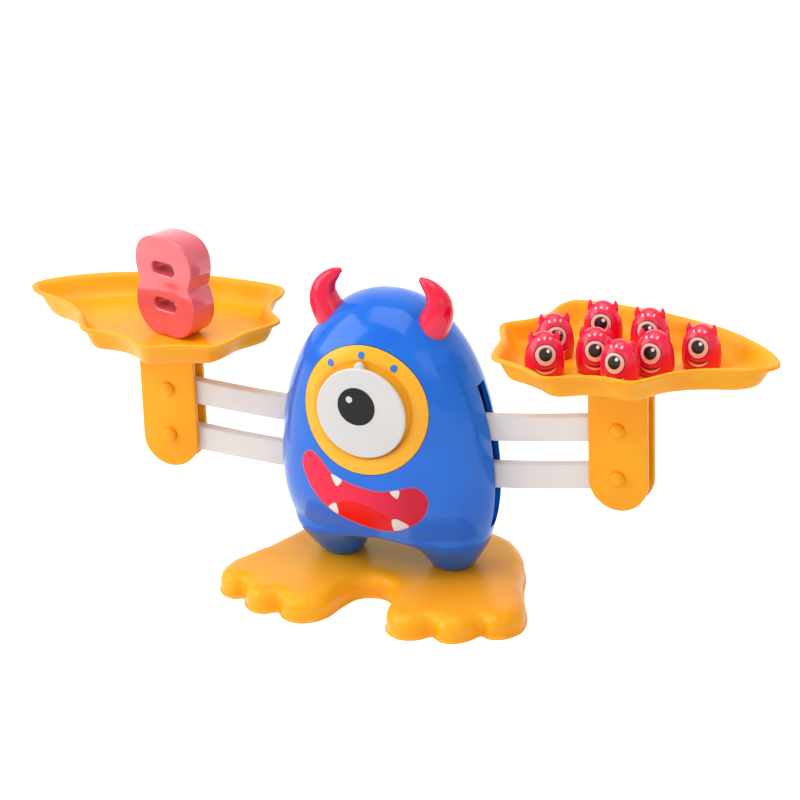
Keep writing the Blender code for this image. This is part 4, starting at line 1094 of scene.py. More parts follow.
@dataclass
class Figure:
    """The horned body in two shells, with its ring, marks, grin and horns."""

    form: BodyForm
    links: Linkage
    parting: float = 0.06
    slot_half: float = 4.5
    slot_low: float = 38.0
    slot_high: float = 113.0
    slot_inner: float = 43.5
    well: float = 23.8
    well_back: float = -31.2
    sleeve: float = 0.5
    fit: float = 0.1
    cup_wall: float = 2.2
    hole: float = 4.0
    boss: float = 7.8
    boss_start: float = 3.7
    bore: float = 3.3
    bore_reach: float = 18.0
    post: float = 4.2
    screw_head: float = 3.1
    screw_seat: float = 13.0
    screws: tuple[Flat, ...] = ((20.0, 120.7), (35.0, 24.7))
    ring: float = 32.4
    dot: float = 1.7
    dot_turns: tuple[float, float, float] = (-38.0, -2.0, 34.0)
    seam: float = 0.3
    horn_back: float = -7.0
    horn_line: tuple[tuple[float, float, float], ...] = (
        (24.5, 126.2, 8.2), (27.6, 131.7, 8.2), (30.0, 137.7, 7.5), (30.1, 143.4, 6.3), (27.7, 148.3, 4.6),
        (24.2, 151.7, 3.1), (21.8, 153.4, 1.7),
    )
    grin: tuple[Flat, ...] = (
        (-31, 79.2), (-35.2, 73.1), (-33.8, 65.9), (-29.4, 57.8), (-22.2, 50.3), (-15.8, 46.4), (-7, 43.2),
        (2.6, 40.9), (12.1, 41.1), (21, 44.9), (28.5, 51.9), (31.1, 60.1), (28.6, 65.6), (23.6, 67.6),
        (15.6, 65.4), (6.8, 63.9), (-1.5, 64.9), (-11.1, 67.1), (-18.2, 70.1), (-24.9, 77.1),
    )
    tongue: tuple[Flat, ...] = (
        (-16.1, 47.1), (-15, 54.6), (-7.5, 56.4), (0, 54.9), (7.1, 52), (12.1, 48.6), (12.3, 41.6),
        (2.6, 41.1), (-7, 43.4),
    )
    fangs: tuple[tuple[Flat, ...], ...] = (
        ((-18.4, 70.1), (-15.4, 63.5), (-11.8, 67.4)), ((12.8, 64.7), (16.6, 61), (17.9, 66)),
        ((-21.7, 50.4), (-16.7, 54.2), (-16.3, 47.1)), ((12.2, 41.2), (12.3, 48.3), (15.1, 49.2), (21, 45.2)),
    )

    def build(self) -> None:
        """Build and dress every piece of the figure."""
        solid = self.form.solid("form")
        self.shells(solid)
        self.eye_ring()
        self.marks()
        self.mouth()
        for side, name in ((-1, "horn_left"), (1, "horn_right")):
            self.horn(solid, side, name)
        bpy.data.objects.remove(solid, do_unlink=True)

    def shells(self, solid: bpy.types.Object) -> None:
        """The two shells: hollow, slotted at the sides for the beams and recessed for the eye."""
        far, pivot = 0.3, self.links.pivot
        inner = self.form.offset(solid, "inner", -self.form.wall)
        cup_end = (self.well_back + self.cup_wall) * MM
        keepers = [rod("cup", (0, -far, pivot.z), far + cup_end, (self.well + self.cup_wall) * MM)]
        length = far - self.boss_start * MM
        for place in (pivot, self.links.low_pivot):
            for start in (-far, self.boss_start * MM):
                keepers.append(rod("boss", (0, start, place.z), length, self.boss * MM, 32))
        sole = self.form.sole * MM
        screws = [(side * x * MM, sole + z * MM) for x, z in self.screws for side in (-1, 1)]
        keepers += [rod("post", (x, -far, z), 2 * far, self.post * MM, 24) for x, z in screws]
        inner = worked(inner, keepers)
        body = worked(linked("body", solid.data.copy()), [inner])
        wide = (self.well + self.sleeve + self.fit) * MM
        cutters = [rod("well", (0, -far, pivot.z), far + (self.well_back + self.sleeve) * MM, wide, 96)]
        for side in (-1, 1):
            ends = sorted((side * self.slot_inner * MM, side * far))
            cutters.append(block("slot", (ends[0], -self.slot_half * MM, self.slot_low * MM),
                                 (ends[1], self.slot_half * MM, self.slot_high * MM)))
        cutters += [rod("head_hole", (x, self.screw_seat * MM, z), far, self.screw_head * MM, 32)
                    for x, z in screws]
        reach = self.bore_reach * MM
        for place, start in ((pivot, -far), (self.links.low_pivot, -reach)):
            cutters.append(rod("bore", (0, start, place.z), reach - start, self.bore * MM, 32))
        seat = circle(Vector((0, pivot.z)), self.ring + self.seam, 96)
        cutters.append(self.form.patch("seat", seat, -1.4, 6.0, 4.0))
        body = worked(body, cutters)
        for name, side in (("body_front_shell", -1), ("body_rear_shell", 1)):
            shell = halved(linked("skin_" + name, body.data.copy()), side * self.parting * MM, side)
            shown(painted(shaded(shell, 35), Finish.BLUE), "stand", "blue_plastic", name)
        bpy.data.objects.remove(body, do_unlink=True)

    def eye_ring(self) -> None:
        """The yellow ring, flush with the body, that rolls down into a sleeve and a floor behind the disc."""
        well, height = self.well, self.links.pivot.z / MM
        turns = around(128)

        def on_body(radius: float, rise: float = 0.0) -> Loop:
            """A ring on the body's front at a radius about the eye, moved out a little."""
            return [self.form.face(radius * math.cos(a), height + radius * math.sin(a), rise) for a in turns]

        def straight(radius: float, depths: Sequence[float]) -> Loop:
            """A ring at a radius about the eye, with a depth for each of its turns."""
            return [Vector((radius * math.cos(a), deep, height + radius * math.sin(a))) * MM
                    for a, deep in zip(turns, depths)]

        roll = [(self.ring, -1.0), (self.ring, 0.1), (self.ring - 0.15, 0.25), (self.ring - 0.4, 0.3),
                (well + 4.0, 0.3), (well + 2.9, 0.15), (well + 1.9, -0.2), (well + 1.1, -0.7),
                (well + 0.5, -1.3), (well + 0.15, -1.8)]
        rings = [on_body(radius, rise) for radius, rise in roll]
        deepest = [max(self.well_back, point.y / MM + 0.6) for point in on_body(well)]
        back = self.sleeve - self.fit
        rings += [straight(well, deepest), straight(well - 0.6, deepest)]
        rings += [straight(self.hole, [self.well_back + extra] * len(turns)) for extra in (0.0, back)]
        far_side = well + self.sleeve
        rings += [straight(far_side, [deep + back for deep in deepest]), on_body(far_side, -1.9)]
        rings.append(rings[0])
        ring = lofted("ring_round_the_eye", rings, False)
        shown(painted(shaded(ring, 50), Finish.YELLOW), "stand", "yellow_plastic", "eye_ring")

    def marks(self) -> None:
        """Three marks on the ring, laid on its surface."""
        for name, turn in zip(("left", "middle", "right"), self.dot_turns):
            radius, turn = (self.well + self.ring) / 2, math.radians(turn)
            centre = Vector((radius * math.sin(turn), self.links.pivot.z / MM + radius * math.cos(turn))) * MM
            dot = self.form.patch("mark_" + name, circle(centre, self.dot, 32), -0.5, 0.55, 1.0)
            shown(painted(shaded(dot, 40), Finish.MARK), "stand", "blue_plastic", "index_dot_" + name)

    def mouth(self) -> None:
        """The printed grin: a thin line round it, the mouth, the tongue and four fangs."""
        grin = smooth_loop(self.grin, 5)
        parts = [painted(self.form.patch("line", inset(grin, -0.45 * MM), -0.2, 0.05), Finish.LINE),
                 painted(self.form.patch("gum", grin, -0.2, 0.10), Finish.GUM)]
        tongue = [self.bounded(p, grin) for p in smooth_loop(self.tongue, 4)]
        parts.append(painted(self.form.patch("tongue", tongue, -0.2, 0.15, 1.5), Finish.TONGUE))
        for fang in self.fangs:
            tooth = self.form.patch("fang", self.fang_loop(fang), -0.2, 0.20, 1.0)
            parts.append(painted(tooth, Finish.TOOTH))
        grin_piece = joined("grin", parts)
        shown(shaded(grin_piece, 40), "stand", "mouth_print", "mouth_print")

    def bounded(self, point: Vector, loop: Loop) -> Vector:
        """The point, or the nearest point of the loop where it lies outside it."""
        return point if inside(point, loop) else min(loop, key=lambda p: (p - point).length)

    def fang_loop(self, corners: Sequence[Flat]) -> Loop:
        """A fang's outline with slightly bowed sides and a blunt tip."""
        loop: Loop = []
        centre = sum((Vector(c) for c in corners), Vector((0, 0))) / len(corners)
        for a, b in zip(corners, corners[1:] + corners[:1]):
            a, b = Vector(a), Vector(b)
            for k in range(6):
                t = k / 6
                middle = a.lerp(b, t)
                loop.append((middle + (middle - centre).normalized() * 1.6 * t * (1 - t)) * MM)
        return eased(loop)

    def horn(self, solid: bpy.types.Object, side: int, name: str) -> None:
        """A horn that curves inwards, cut to sit in the shell."""
        line = [Vector(point) for point in self.horn_line]
        stations: list[Vector] = []
        for i in range(len(line) - 1):
            a, b, c, d = (line[min(max(i + k, 0), len(line) - 1)] for k in (-1, 0, 1, 2))
            stations += [between(a, b, c, d, k / 6) for k in range(6)]
        stations.append(line[-1])
        rings: list[list[Vector]] = []
        rear, tip = Vector((0, 1, 0)), ((0.82, 0.55), (0.5, 0.85))
        for i, (x, z, radius) in enumerate(stations):
            before, after = stations[max(i - 1, 0)], stations[min(i + 1, len(stations) - 1)]
            along = Vector((side * (after[0] - before[0]), 0, after[1] - before[1])).normalized()
            across = Vector((along.z, 0, -along.x))
            centre = Vector((side * x, self.horn_back, self.form.sole + z))
            last = i == len(stations) - 1
            for share, reach in ((1.0, 0.0),) + (tip if last else ()):
                middle = centre + along * radius * reach
                rings.append([(middle + (across * math.cos(a) + rear * math.sin(a)) * radius * share) * MM
                              for a in around(40)])
            if last:
                rings.append([(centre + along * radius) * MM])
        horn = lofted("curved_" + name, rings)
        horn = worked(horn, [self.form.offset(solid, "seat", -1.0)])
        shown(painted(shaded(horn, 40), Finish.RED), "stand", "red_plastic", name)


@dataclass
class Eye:
    """The white disc that turns with the upper beam, with its pointer, pupil and glint."""

    form: BodyForm
    links: Linkage
    radius: float = 23.2
    proud: float = 1.0
    thick: float = 5.2
    lip: float = 1.5
    back_radius: float = 20.4
    rise: float = 2.6
    edge: float = 0.8
    nub: float = 2.5
    dome: float = 0.5
    pupil: float = 9.75
    pupil_place: Flat = (-1.8, 3.75)
    glint: float = 1.7
    glint_place: Flat = (-3.4, 3.5)

    def build(self) -> None:
        """Build and dress the disc, the pupil and the glint."""
        front = min(middle - depth for _, _, depth, _, middle in self.form.rows) - self.proud
        height = self.links.pivot.z / MM
        place = self.links.tilted(self.links.pivot) @ Matrix.Translation(Vector((0, front, height)) * MM)
        place = place @ FACING
        edge = [(self.radius - self.edge * (1 - math.cos(a)), -self.edge * (1 - math.sin(a)))
                for a in (math.radians(5 * k) for k in range(19))]
        dome = [(self.radius * s - self.edge * s, self.dome * (1 - s * s)) for s in (0.9, 0.75, 0.55, 0.3)]
        profile = [(0, -self.thick), (self.back_radius, -self.thick), (self.radius, -self.lip)]
        disc = turned("disc", profile + edge + dome + [(0, self.dome)], 128)
        tip, root = self.radius + self.rise - self.nub, self.radius - 5
        nub = [Vector((-self.nub, root)), Vector((self.nub, root)), Vector((2.35, tip))]
        nub += [Vector((2.2 * math.cos(a), tip + self.nub * math.sin(a)))
                for a in (math.pi * k / 12 for k in range(1, 12))]
        nub.append(Vector((-2.35, tip)))
        outline = [[p * MM for p in nub]]
        pointer = plate("pointer", outline, (1.0 - self.thick) * MM, -1.0 * MM, 0.7 * MM, False)
        pieces = [painted(piece, Finish.DISC) for piece in (disc, pointer)]
        disc = moved(joined("eye_white_disc", pieces), place)
        shown(shaded(disc, 35), "upper_beam", "white_plastic", "eye_disc")
        x, z = self.pupil_place
        top = self.dome + 0.06
        spot = turned("pupil_spot", [(0, -1.0), (self.pupil, -1.0)] + rounded(
            [(self.pupil, -1.0), (self.pupil, top), (0, top)], 0.15), 96)
        spot = moved(spot, place @ Matrix.Translation((x * MM, z * MM, 0)))
        shown(painted(shaded(spot, 35), Finish.PUPIL), "upper_beam", "black_plastic", "eye_pupil")
        dot = turned("glint_spot", [(0, 0.0), (self.glint, 0.0)] + rounded(
            [(self.glint, 0.0), (self.glint, top + 0.08), (0, top + 0.1)], 0.08), 48)
        x, z = x + self.glint_place[0], z + self.glint_place[1]
        dot = moved(dot, place @ Matrix.Translation((x * MM, z * MM, 0)))
        shown(painted(shaded(dot, 35), Finish.DISC), "upper_beam", "white_plastic", "eye_glint")


@dataclass
class Beams:
    """The two white beams."""

    links: Linkage
    rule: BeamRule
    copies: Repeater
    depth: float = 13.0
    thick: float = 6.0
    bend: float = 856.0
    crank: float = 34.0
    hub: float = 8.0
    edge: float = 1.0

    def build(self) -> None:
        """Build and dress both beams."""
        for name, body, pivot in (("beam_upper", "upper_beam", self.links.pivot),
                                  ("beam_lower", "lower_beam", self.links.low_pivot)):
            bar = self.rule.run("bar", bpy.data.meshes.new("bar"), {
                "Length": self.links.arm * MM, "Bend": self.bend * MM, "Drop": self.links.drop * MM,
                "Crank": self.crank * MM, "Depth": self.depth * MM, "Thickness": self.thick * MM,
                "Edge": self.edge * MM, "Points": 161, "Material": Paints.of(Finish.WHITE)})
            ends = [Vector((side * self.links.arm, 0, -self.links.drop)) * MM for side in (-1, 1)]
            eyes = self.copies.copies("eyes", self.boss(self.depth / 2), ends, Finish.WHITE)
            hub = self.copies.copies("hub", self.boss(self.hub), [Vector((0, 0, 0))], Finish.WHITE)
            beam = joined("arched_" + name, [bar, eyes, hub])
            moved(beam, self.links.tilted(pivot) @ Matrix.Translation(pivot))
            shown(shaded(beam, 40), body, "white_plastic", name)

    def boss(self, radius: float) -> bpy.types.Object:
        """A round end of a beam, a hair thicker than its bar."""
        half = self.thick / 2 + 0.04
        rim = rounded([(0, -half), (radius, -half), (radius, half), (0, half)], self.edge)
        return moved(turned("boss", rim, 64), FACING)


@dataclass
class Pans:
    """The two pans with their stems and pins."""

    links: Linkage
    copies: Repeater
    outline: tuple[Flat, ...] = (
        (80, 1), (73, -7.8), (59.5, -12.7), (47.5, -18.4), (37.5, -26.3), (30.5, -36.5), (23, -44.3),
        (9, -43.4), (-4, -47.2), (-16.5, -54.2), (-28, -47.9), (-39.5, -43.4), (-49.3, -40), (-53.2, -29),
        (-55, -18), (-61, -6.2), (-62.8, 2.5), (-53, 11.5), (-47.4, 22), (-47.2, 34.5), (-40.5, 44.3),
        (-17, 45.1),
        (5, 43.4), (23, 39.5), (41, 34.1), (59, 24.2), (73, 12.8),
    )
    turn: float = -3.5
    low: float = 30.8
    stem: float = 30.0
    plate_thick: float = 2.7
    gap: float = 7.2
    tail: float = 2.2
    pin_head: float = 3.8
    plug_half: float = 12.0
    plug_foot: float = 12.8

    def build(self) -> None:
        """Build and dress the pan, the stem and the pins of each side."""
        for side, word in ((-1, "left"), (1, "right")):
            body = word + "_pan"
            mirror = Matrix.Scale(side, 4, Vector((1, 0, 0)))
            place = Matrix.Translation(self.links.pin(side)) @ mirror
            tray = moved(self.tray("tray_" + word, spun(side * self.turn)), place)
            shown(tray, body, "orange_plastic", "pan_" + word)
            for face, end in ((-1, "front"), (1, "rear")):
                leaf = moved(self.leaf(f"leaf_{word}_{end}", face), place)
                shown(leaf, body, "orange_plastic", f"stem_{word}_{end}")
            drops = [Vector((0, 0, -k * self.links.spacing)) * MM for k in (0, 1)]
            pins = moved(self.copies.copies("pins_" + word, self.pin(), drops, Finish.ORANGE), place)
            names = (f"stem_{word}_upper_pin", f"stem_{word}_lower_pin")
            shown(shaded(pins, 40), body, "orange_plastic", *names)

    def tray(self, name: str, spin: Matrix) -> bpy.types.Object:
        """A scalloped tray with a beaded rim, turned on its stem, and the plug under it."""
        loop = smooth_loop(self.outline, 8, 5)
        outside = [(0.40, 0.0), (0.835, 0.0), (0.848, 0.08), (0.860, 0.45), (0.872, 1.1), (0.886, 2.3),
                   (0.908, 5.0), (0.930, 7.8), (0.948, 9.9), (0.958, 10.35)]
        bead = [(0.976, 10.45, 0.0), (0.990, 10.6, 0.0), (0.998, 11.0, 0.0), (1.0, 11.7, 0.0),
                (0.999, 12.2, 0.1), (0.998, 12.5, 0.45), (0.996, 12.6, 1.0), (0.993, 12.5, 1.6),
                (0.987, 12.1, 2.1)]
        inside_wall = [(0.966, 10.6, 2.1), (0.946, 8.6, 2.0), (0.926, 6.6, 2.0), (0.908, 5.1, 2.0),
                       (0.889, 3.9, 2.0), (0.869, 3.0, 2.0), (0.848, 2.4, 2.0), (0.826, 2.05, 2.0),
                       (0.800, 1.9, 2.0), (0.4, 1.9, 0.0)]
        rings: list[list[Vector]] = []
        for share, height, inward in [(s, h, 0.0) for s, h in outside] + bead + inside_wall:
            line = inset([p * share for p in loop], inward * MM) if inward else [p * share for p in loop]
            rings.append([Vector((p.x, p.y, (self.low + height) * MM)) for p in line])
        rings.insert(0, [Vector((0, 0, self.low * MM))])
        rings.append([Vector((0, 0, (self.low + 1.9) * MM))])
        tray = painted(moved(lofted("tray", rings), spin), Finish.ORANGE)
        half = self.gap / 2 - 0.3
        ends = ((-1, self.plug_foot), (1, self.plug_foot), (1, self.low + 0.5), (-1, self.low + 0.5))
        sketch = [Vector((end * self.plug_half, height)) * MM for end, height in ends]
        plug = painted(plate("plug", [sketch], -half * MM, half * MM, 0.5 * MM), Finish.ORANGE)
        return shaded(joined(name, [tray, plug]), 40)

    def leaf(self, name: str, side: int) -> bpy.types.Object:
        """One plate of the stem with a round foot and eased edges."""
        half = self.stem / 2
        foot = -self.links.spacing - self.tail
        loop = [Vector((half * math.cos(a), foot + half * math.sin(a))) * MM
                for a in (math.pi + math.pi * k / 40 for k in range(41))]
        top = self.low - 0.3
        loop += [Vector((half * MM, top * k / 4 * MM)) for k in range(5)]
        loop += [Vector((-half * MM, top * k / 4 * MM)) for k in reversed(range(5))]
        ends = sorted((side * self.gap / 2, side * (self.gap / 2 + self.plate_thick)))
        leaf = plate(name, [loop], ends[0] * MM, ends[1] * MM, 0.55 * MM)
        return painted(shaded(leaf, 40), Finish.ORANGE)

    def pin(self) -> bpy.types.Object:
        """A domed pin through the stem, with its head to the front."""
        front = self.gap / 2 + self.plate_thick + 0.05
        head = [(self.pin_head * math.cos(a), front + 0.5 + 2.3 * math.sin(a))
                for a in (math.radians(9 * k) for k in range(10))]
        tail = [(0, -front - 1.4), (2.9, -front - 1.3), (3.5, -front - 0.7), (3.6, -front), (2.4, -front)]
        profile = tail + [(2.4, front), (self.pin_head, front)] + head[:-1] + [(0, front + 2.8)]
        return moved(turned("pin", profile, 48), FACING)


@dataclass
class FootPlate:
    """The orange foot plate with six toes: its top rolls down to a thin lip round its edge."""

    copies: Repeater
    height: float = 12.0
    roll: float = 6.8
    lip: float = 0.7
    cell: float = 2.4
    outline: tuple[Flat, ...] = (
        (0, -24), (9, -28), (13, -39), (15, -51), (20, -59), (28, -62.5), (36, -60), (41, -54.5),
        (47, -58.5), (54, -58), (60, -52.5), (63.5, -46), (69, -48), (76.5, -44.5), (81, -35), (78.5, -22),
        (72, -8.5), (66.5, 5), (62.5, 18.5), (56.5, 31), (48, 40.5), (37.5, 47), (22, 51), (0, 52.5),
    )

    def build(self) -> None:
        """Build and dress the plate and its cover's screws."""
        shown(painted(shaded(self.slab("slab"), 50), Finish.ORANGE), "stand", "orange_plastic", "base_feet")
        names = [f"cover_screw_{number}" for number in range(1, 5)]
        places = [foot_of(name) for name in names]
        head = self.screw("screw")
        spots = self.copies.copies("cover_screws", head, places, Finish.STEEL, spread=math.tau)
        shown(shaded(spots, 35), "stand", "steel", *names)

    def top(self, place: Vector, wall: Loop) -> float:
        """Height of the plate over a place: a roll along the outline."""
        roll = self.roll * MM
        reach = min(distance(place, wall), roll)
        return self.height * MM - roll + math.sqrt(roll ** 2 - (roll - reach) ** 2)

    def slab(self, name: str) -> bpy.types.Object:
        """The plate as one closed body."""
        edge = smooth_loop(both_sides(self.outline), 6, 1)
        wall = inset(edge, self.lip * MM)
        inner: list[Vector] = []
        for deep in (0.2, 0.6, 1.2, 2.0, 3.0, 4.2, 5.5):
            inner += [p for p in inset(wall, deep * MM)
                      if inside(p, wall) and distance(p, wall) > 0.96 * deep * MM]
        columns = int(170 / self.cell)
        for i in range(columns):
            for j in range(int(120 / self.cell)):
                p = Vector((i * self.cell - 84.5, j * self.cell - 63.5)) * MM
                if inside(p, wall) and distance(p, wall) > 6.2 * MM:
                    inner.append(p)
        flat, faces = filled(wall, inner)
        bm = bmesh.new()
        top = [bm.verts.new((p.x, p.y, self.top(p, wall))) for p in flat]
        for face in faces:
            bm.faces.new([top[i] for i in face])
        for _ in range(4):
            bmesh.ops.smooth_vert(bm, verts=top[len(wall):], factor=0.5, use_axis_z=True)
        rows = [top[:len(wall)]]
        for loop, height in ((wall, 1.1), (inset(edge, 0.35 * MM), 0.85), (edge, 0.5), (edge, 0.0)):
            rows.append([bm.verts.new((p.x, p.y, height * MM)) for p in loop])
        for high, low in zip(rows, rows[1:]):
            for i in range(len(edge)):
                j = (i + 1) % len(edge)
                bm.faces.new((high[i], high[j], low[j], low[i]))
        for face in filled(edge, [])[1]:
            bm.faces.new([rows[-1][i] for i in reversed(face)])
        return from_bmesh(name, bm)

    def screw(self, name: str) -> bpy.types.Object:
        """A round-headed screw with a crossed slot, head down."""
        line = [(0, 0), (2.3, 0.0), (2.8, 0.7), (2.8, 1.8), (1.25, 1.8), (1.25, 7.0), (0, 8.0)]
        body = turned(name, rounded(line, 0.3), 40)
        bars = [block("bar", (-1.5 * MM, -0.3 * MM, -1 * MM), (1.5 * MM, 0.3 * MM, 0.9 * MM)),
                block("bar", (-0.3 * MM, -1.5 * MM, -1 * MM), (0.3 * MM, 1.5 * MM, 0.9 * MM))]
        return worked(body, bars)


@dataclass
class Weights:
    """The number block and the eight counters."""

    links: Linkage
    figure: tuple[Flat, ...] = (
        (0, 0), (7.7, 0.1), (14.4, 3.7), (18.6, 10.2), (19.4, 16.7), (18.1, 23.2), (16.6, 26.6), (17.6, 30.4),
        (18.8, 36.7), (17.3, 44.6), (11.6, 50.1), (0, 52),
    )
    thick: float = 15.5
    slots: tuple[float, float] = (16.6, 35.4)
    slot_size: Flat = (14.8, 6.2)
    turn: float = -17.0
    radius: float = 9.5
    flatness: float = 0.88
    tall: float = 21.4
    turns: tuple[float, ...] = (25, 29, 18, 11, -3, 2, 8, 4)
    egg_line: tuple[Flat, ...] = (
        (0.0, 1.0), (0.37, 0.955), (0.71, 0.81), (0.92, 0.6), (1.0, 0.36), (0.985, 0.13), (0.9, 0.0),
    )
    ear_apart: float = 5.25
    ear_bend: float = 0.95
    ear_sweep: float = 2.1
    ear_foot: float = 15.7
    ear_tall: float = 5.95

    def build(self) -> None:
        """Build and dress the weights."""
        self.number()
        for number, (turn, word) in enumerate(zip(self.turns, "abcdefgh"), start=1):
            self.counter(number, turn, "counter_" + word)

    def number(self) -> None:
        """The figure eight with two slots through it."""
        loops = [smooth_loop(both_sides(self.figure), 8)]
        width, height = self.slot_size
        for rise in self.slots:
            end = height / 2
            reach = width / 2 - end
            arc = [math.pi - math.pi * k / 14 for k in range(15)]
            loops.append([Vector((side * reach + end * math.sin(a) * side,
                                  rise + end * math.cos(a) * side)) * MM for side in (-1, 1) for a in arc])
        half = self.thick / 2 * MM
        eight = plate("number_eight", loops, -half, half, 0.9 * MM, True, 4)
        place = Matrix.Translation(foot_of("number_block_8")) @ spun(self.turn)
        eight = painted(shaded(moved(eight, place), 35), Finish.PINK)
        shown(eight, "number_block", "pink_plastic", "number_block_8")

    def counter(self, number: int, turn: float, body: str) -> None:
        """One counter: a flattened egg with a flat foot, two small horns and a painted face."""
        node = f"counter_{number}"
        egg = turned("egg", self.egg(), 56, self.flatness)
        piece = joined("painted_" + node, [egg] + [self.ear(side) for side in (-1, 1)])
        self.chart(piece)
        place = Matrix.Translation(foot_of(node)) @ spun(turn)
        shown(painted(shaded(moved(piece, place), 40), Finish.COUNTER), body, "counter_red", node)

    def egg(self) -> list[Flat]:
        """The egg's profile with smooth points between the given ones and a soft edge at the foot."""
        points = [Vector((w * self.radius, h * self.tall)) for w, h in self.egg_line]
        points.insert(0, Vector((-points[1].x, points[1].y)))
        result: list[Flat] = []
        for i in range(1, len(points) - 1):
            a, b, c = points[i - 1], points[i], points[i + 1]
            d = points[i + 2] if i + 2 < len(points) else 2 * c - b
            for k in range(6):
                p = between(a, b, c, d, k / 6)
                result.append((max(p.x, 0.0) if i > 1 or k > 0 else 0.0, p.y))
        foot = self.radius * self.egg_line[-1][0]
        bore = [(5.3, 0.0), (5.2, 0.1), (5.2, 11.9), (0, 12.0)]
        return result + [(foot + 0.12, 0.5), (foot - 0.15, 0.12), (foot - 0.6, 0.0)] + bore

    def ear(self, side: int) -> bpy.types.Object:
        """A small horn that bends inwards at its tip."""
        rings: list[list[Vector]] = []

        def spine(t: float) -> Vector:
            """The middle of the horn at a share of its height."""
            apart = self.ear_apart + self.ear_bend * math.sin(t * self.ear_sweep)
            return Vector((side * apart, 0.0, self.ear_foot + self.ear_tall * t))

        for k in range(9):
            radius = 1.75 * (1 - k / 8) ** 0.7 + 0.4
            rings.append([(spine(k / 8) + Vector((math.cos(a), math.sin(a), 0)) * radius) * MM
                          for a in around(20)])
        rings.append([(spine(1.0) + Vector((0, 0, 0.3))) * MM])
        return lofted("ear", rings)

    def chart(self, piece: bpy.types.Object) -> None:
        """Write the front-view map that the painted face is drawn on; the back lies off the map's face."""
        layer = piece.data.uv_layers.new(name="face")
        for face in piece.data.polygons:
            front = face.center.y < 0 and face.normal.y < 0.05
            for index in face.loop_indices:
                place = piece.data.vertices[piece.data.loops[index].vertex_index].co / MM
                u, v = (place.x, place.z) if front else (40.0, 40.0)
                layer.data[index].uv = ((u + 50.0) / 100.0, (v + 50.0) / 100.0)


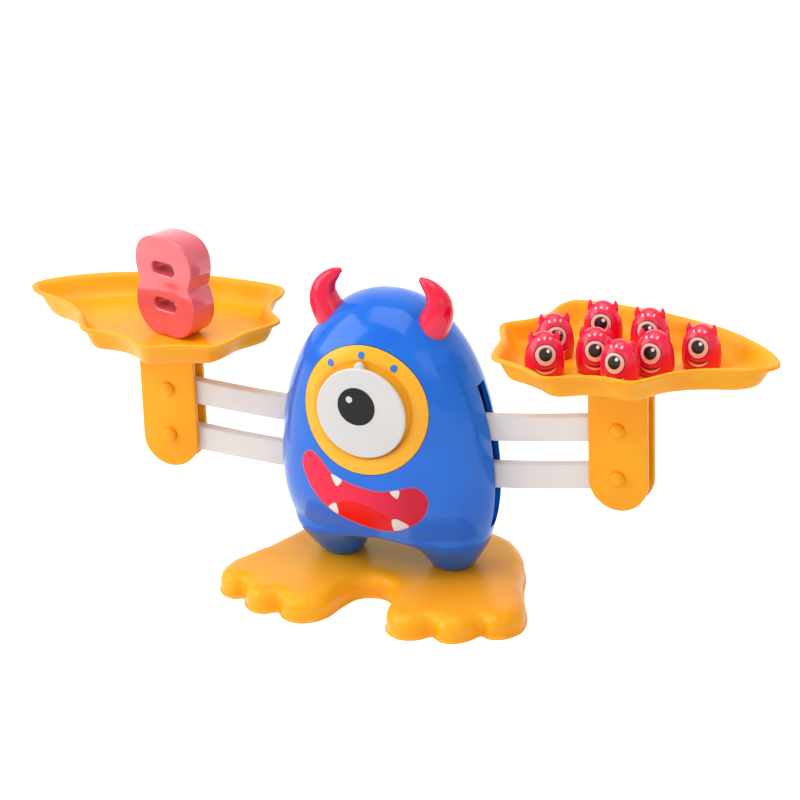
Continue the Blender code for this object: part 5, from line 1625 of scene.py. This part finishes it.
@dataclass
class Studio:
    """The floor, the light and the camera."""

    azimuth: float = 23.5
    elevation: float = 23.0
    roll: float = 2.02
    distance: float = 1.719
    aim: tuple[float, float, float] = (0.0051, 0.0, 0.0982)
    lens: float = 157.5
    ambient: float = 0.57
    lamps: tuple[tuple[str, tuple[float, float, float], float, float, Colour], ...] = (
        ("key", (-1.30, -0.75, 0.95), 1.3, 17.0, (1.0, 0.99, 0.98)),
        ("fill", (1.1, -0.8, 0.8), 0.6, 1.2, (0.98, 0.99, 1.0)),
        ("top", (0.0, -0.15, 1.5), 1.2, 11.0, (1.0, 1.0, 1.0)),
    )

    def build(self) -> None:
        """Set up the floor, the world, the lamps and the camera."""
        scene = bpy.context.scene
        scene.view_settings.view_transform = "Standard"
        self.floor()
        self.world()
        for lamp in self.lamps:
            self.lamp(*lamp)
        self.camera()

    def floor(self) -> None:
        """A wide sheet under the object that bends up far behind it."""
        points = [(-1.5, 0.0)] + [(1.5 + 0.6 * math.sin(a), 0.6 * (1 - math.cos(a)))
                                  for a in (math.radians(9 * k) for k in range(11))] + [(2.1, 3.0)]
        bm = bmesh.new()
        rows = [[bm.verts.new((x, y, z - 0.0002)) for x in (-4, 4)] for y, z in points]
        for low, high in zip(rows, rows[1:]):
            bm.faces.new((low[0], low[1], high[1], high[0]))
        sheet = from_bmesh("studio_floor", bm, False)
        sheet.data.shade_smooth()
        painted(sheet, Finish.FLOOR)

    def world(self) -> None:
        """White where the camera and reflections see it, and an even light elsewhere."""
        world = bpy.data.worlds.new("studio")
        bpy.context.scene.world = world
        world.use_nodes = True
        sheet = Sheet(world.node_tree)
        world.node_tree.nodes.clear()
        strength = sheet.seen() * (1.0 - self.ambient) + self.ambient
        light = sheet.node("ShaderNodeBackground", {}, {"Color": (1.0, 1.0, 1.0), "Strength": strength})
        output = world.node_tree.nodes.new("ShaderNodeOutputWorld")
        world.node_tree.links.new(light.socket, output.inputs["Surface"])

    def lamp(self, name: str, place: Sequence[float], size: float, power: float, colour: Colour) -> None:
        """A square soft lamp that looks at the object."""
        data = bpy.data.lights.new(name, "AREA")
        data.size = size
        data.energy = power
        data.color = colour
        lamp = linked(name, data)
        lamp.location = place
        lamp.rotation_euler = (Vector(self.aim) - Vector(place)).to_track_quat("-Z", "Y").to_euler()

    def camera(self) -> None:
        """The camera that was fitted to the photograph."""
        a, e, roll = (math.radians(v) for v in (self.azimuth, self.elevation, self.roll))
        ahead = Vector((-math.sin(a) * math.cos(e), math.cos(a) * math.cos(e), -math.sin(e)))
        up = Vector((-math.sin(a) * math.sin(e), math.cos(a) * math.sin(e), math.cos(e)))
        right = Vector((math.cos(a), math.sin(a), 0))
        turn = Matrix((right, up, -ahead)).transposed().to_4x4()
        data = bpy.data.cameras.new("photo_view")
        data.lens = self.lens
        data.sensor_width = 36.0
        data.clip_end = 20.0
        camera = linked("photo_view", data)
        place = Vector(self.aim) - self.distance * ahead
        camera.matrix_world = Matrix.Translation(place) @ turn @ Matrix.Rotation(-roll, 4, "Z")
        bpy.context.scene.camera = camera


KEPT = {
    Finish.ORANGE: ("base_cover",),
    Finish.WHITE: ("upper_bush_front", "upper_bush_rear", "lower_bush_front", "lower_bush_rear"),
    Finish.STEEL: ("upper_shaft", "lower_pivot_pin", "eye_screw", "leg_screw_1", "leg_screw_2",
                   "shell_screw_1", "shell_screw_2", "shell_screw_3", "shell_screw_4"),
}


def main() -> None:
    """Build the balance and its studio."""
    logging.basicConfig(level=logging.INFO, format="%(name)s: %(message)s")
    links = Linkage()
    form = BodyForm()
    repeater = Repeater()
    for part in (Figure(form, links), Eye(form, links), Beams(links, BeamRule(), repeater),
                 Pans(links, repeater), FootPlate(repeater), Weights(links), Studio()):
        part.build()
        log.info("%s is done", type(part).__name__)
    for finish, names in KEPT.items():
        for name in names:
            painted(frame["nodes"][name], finish)
            log.info("%s keeps its CAD shape in %s", name, finish.value.name)


if __name__ == "__main__":
    main()
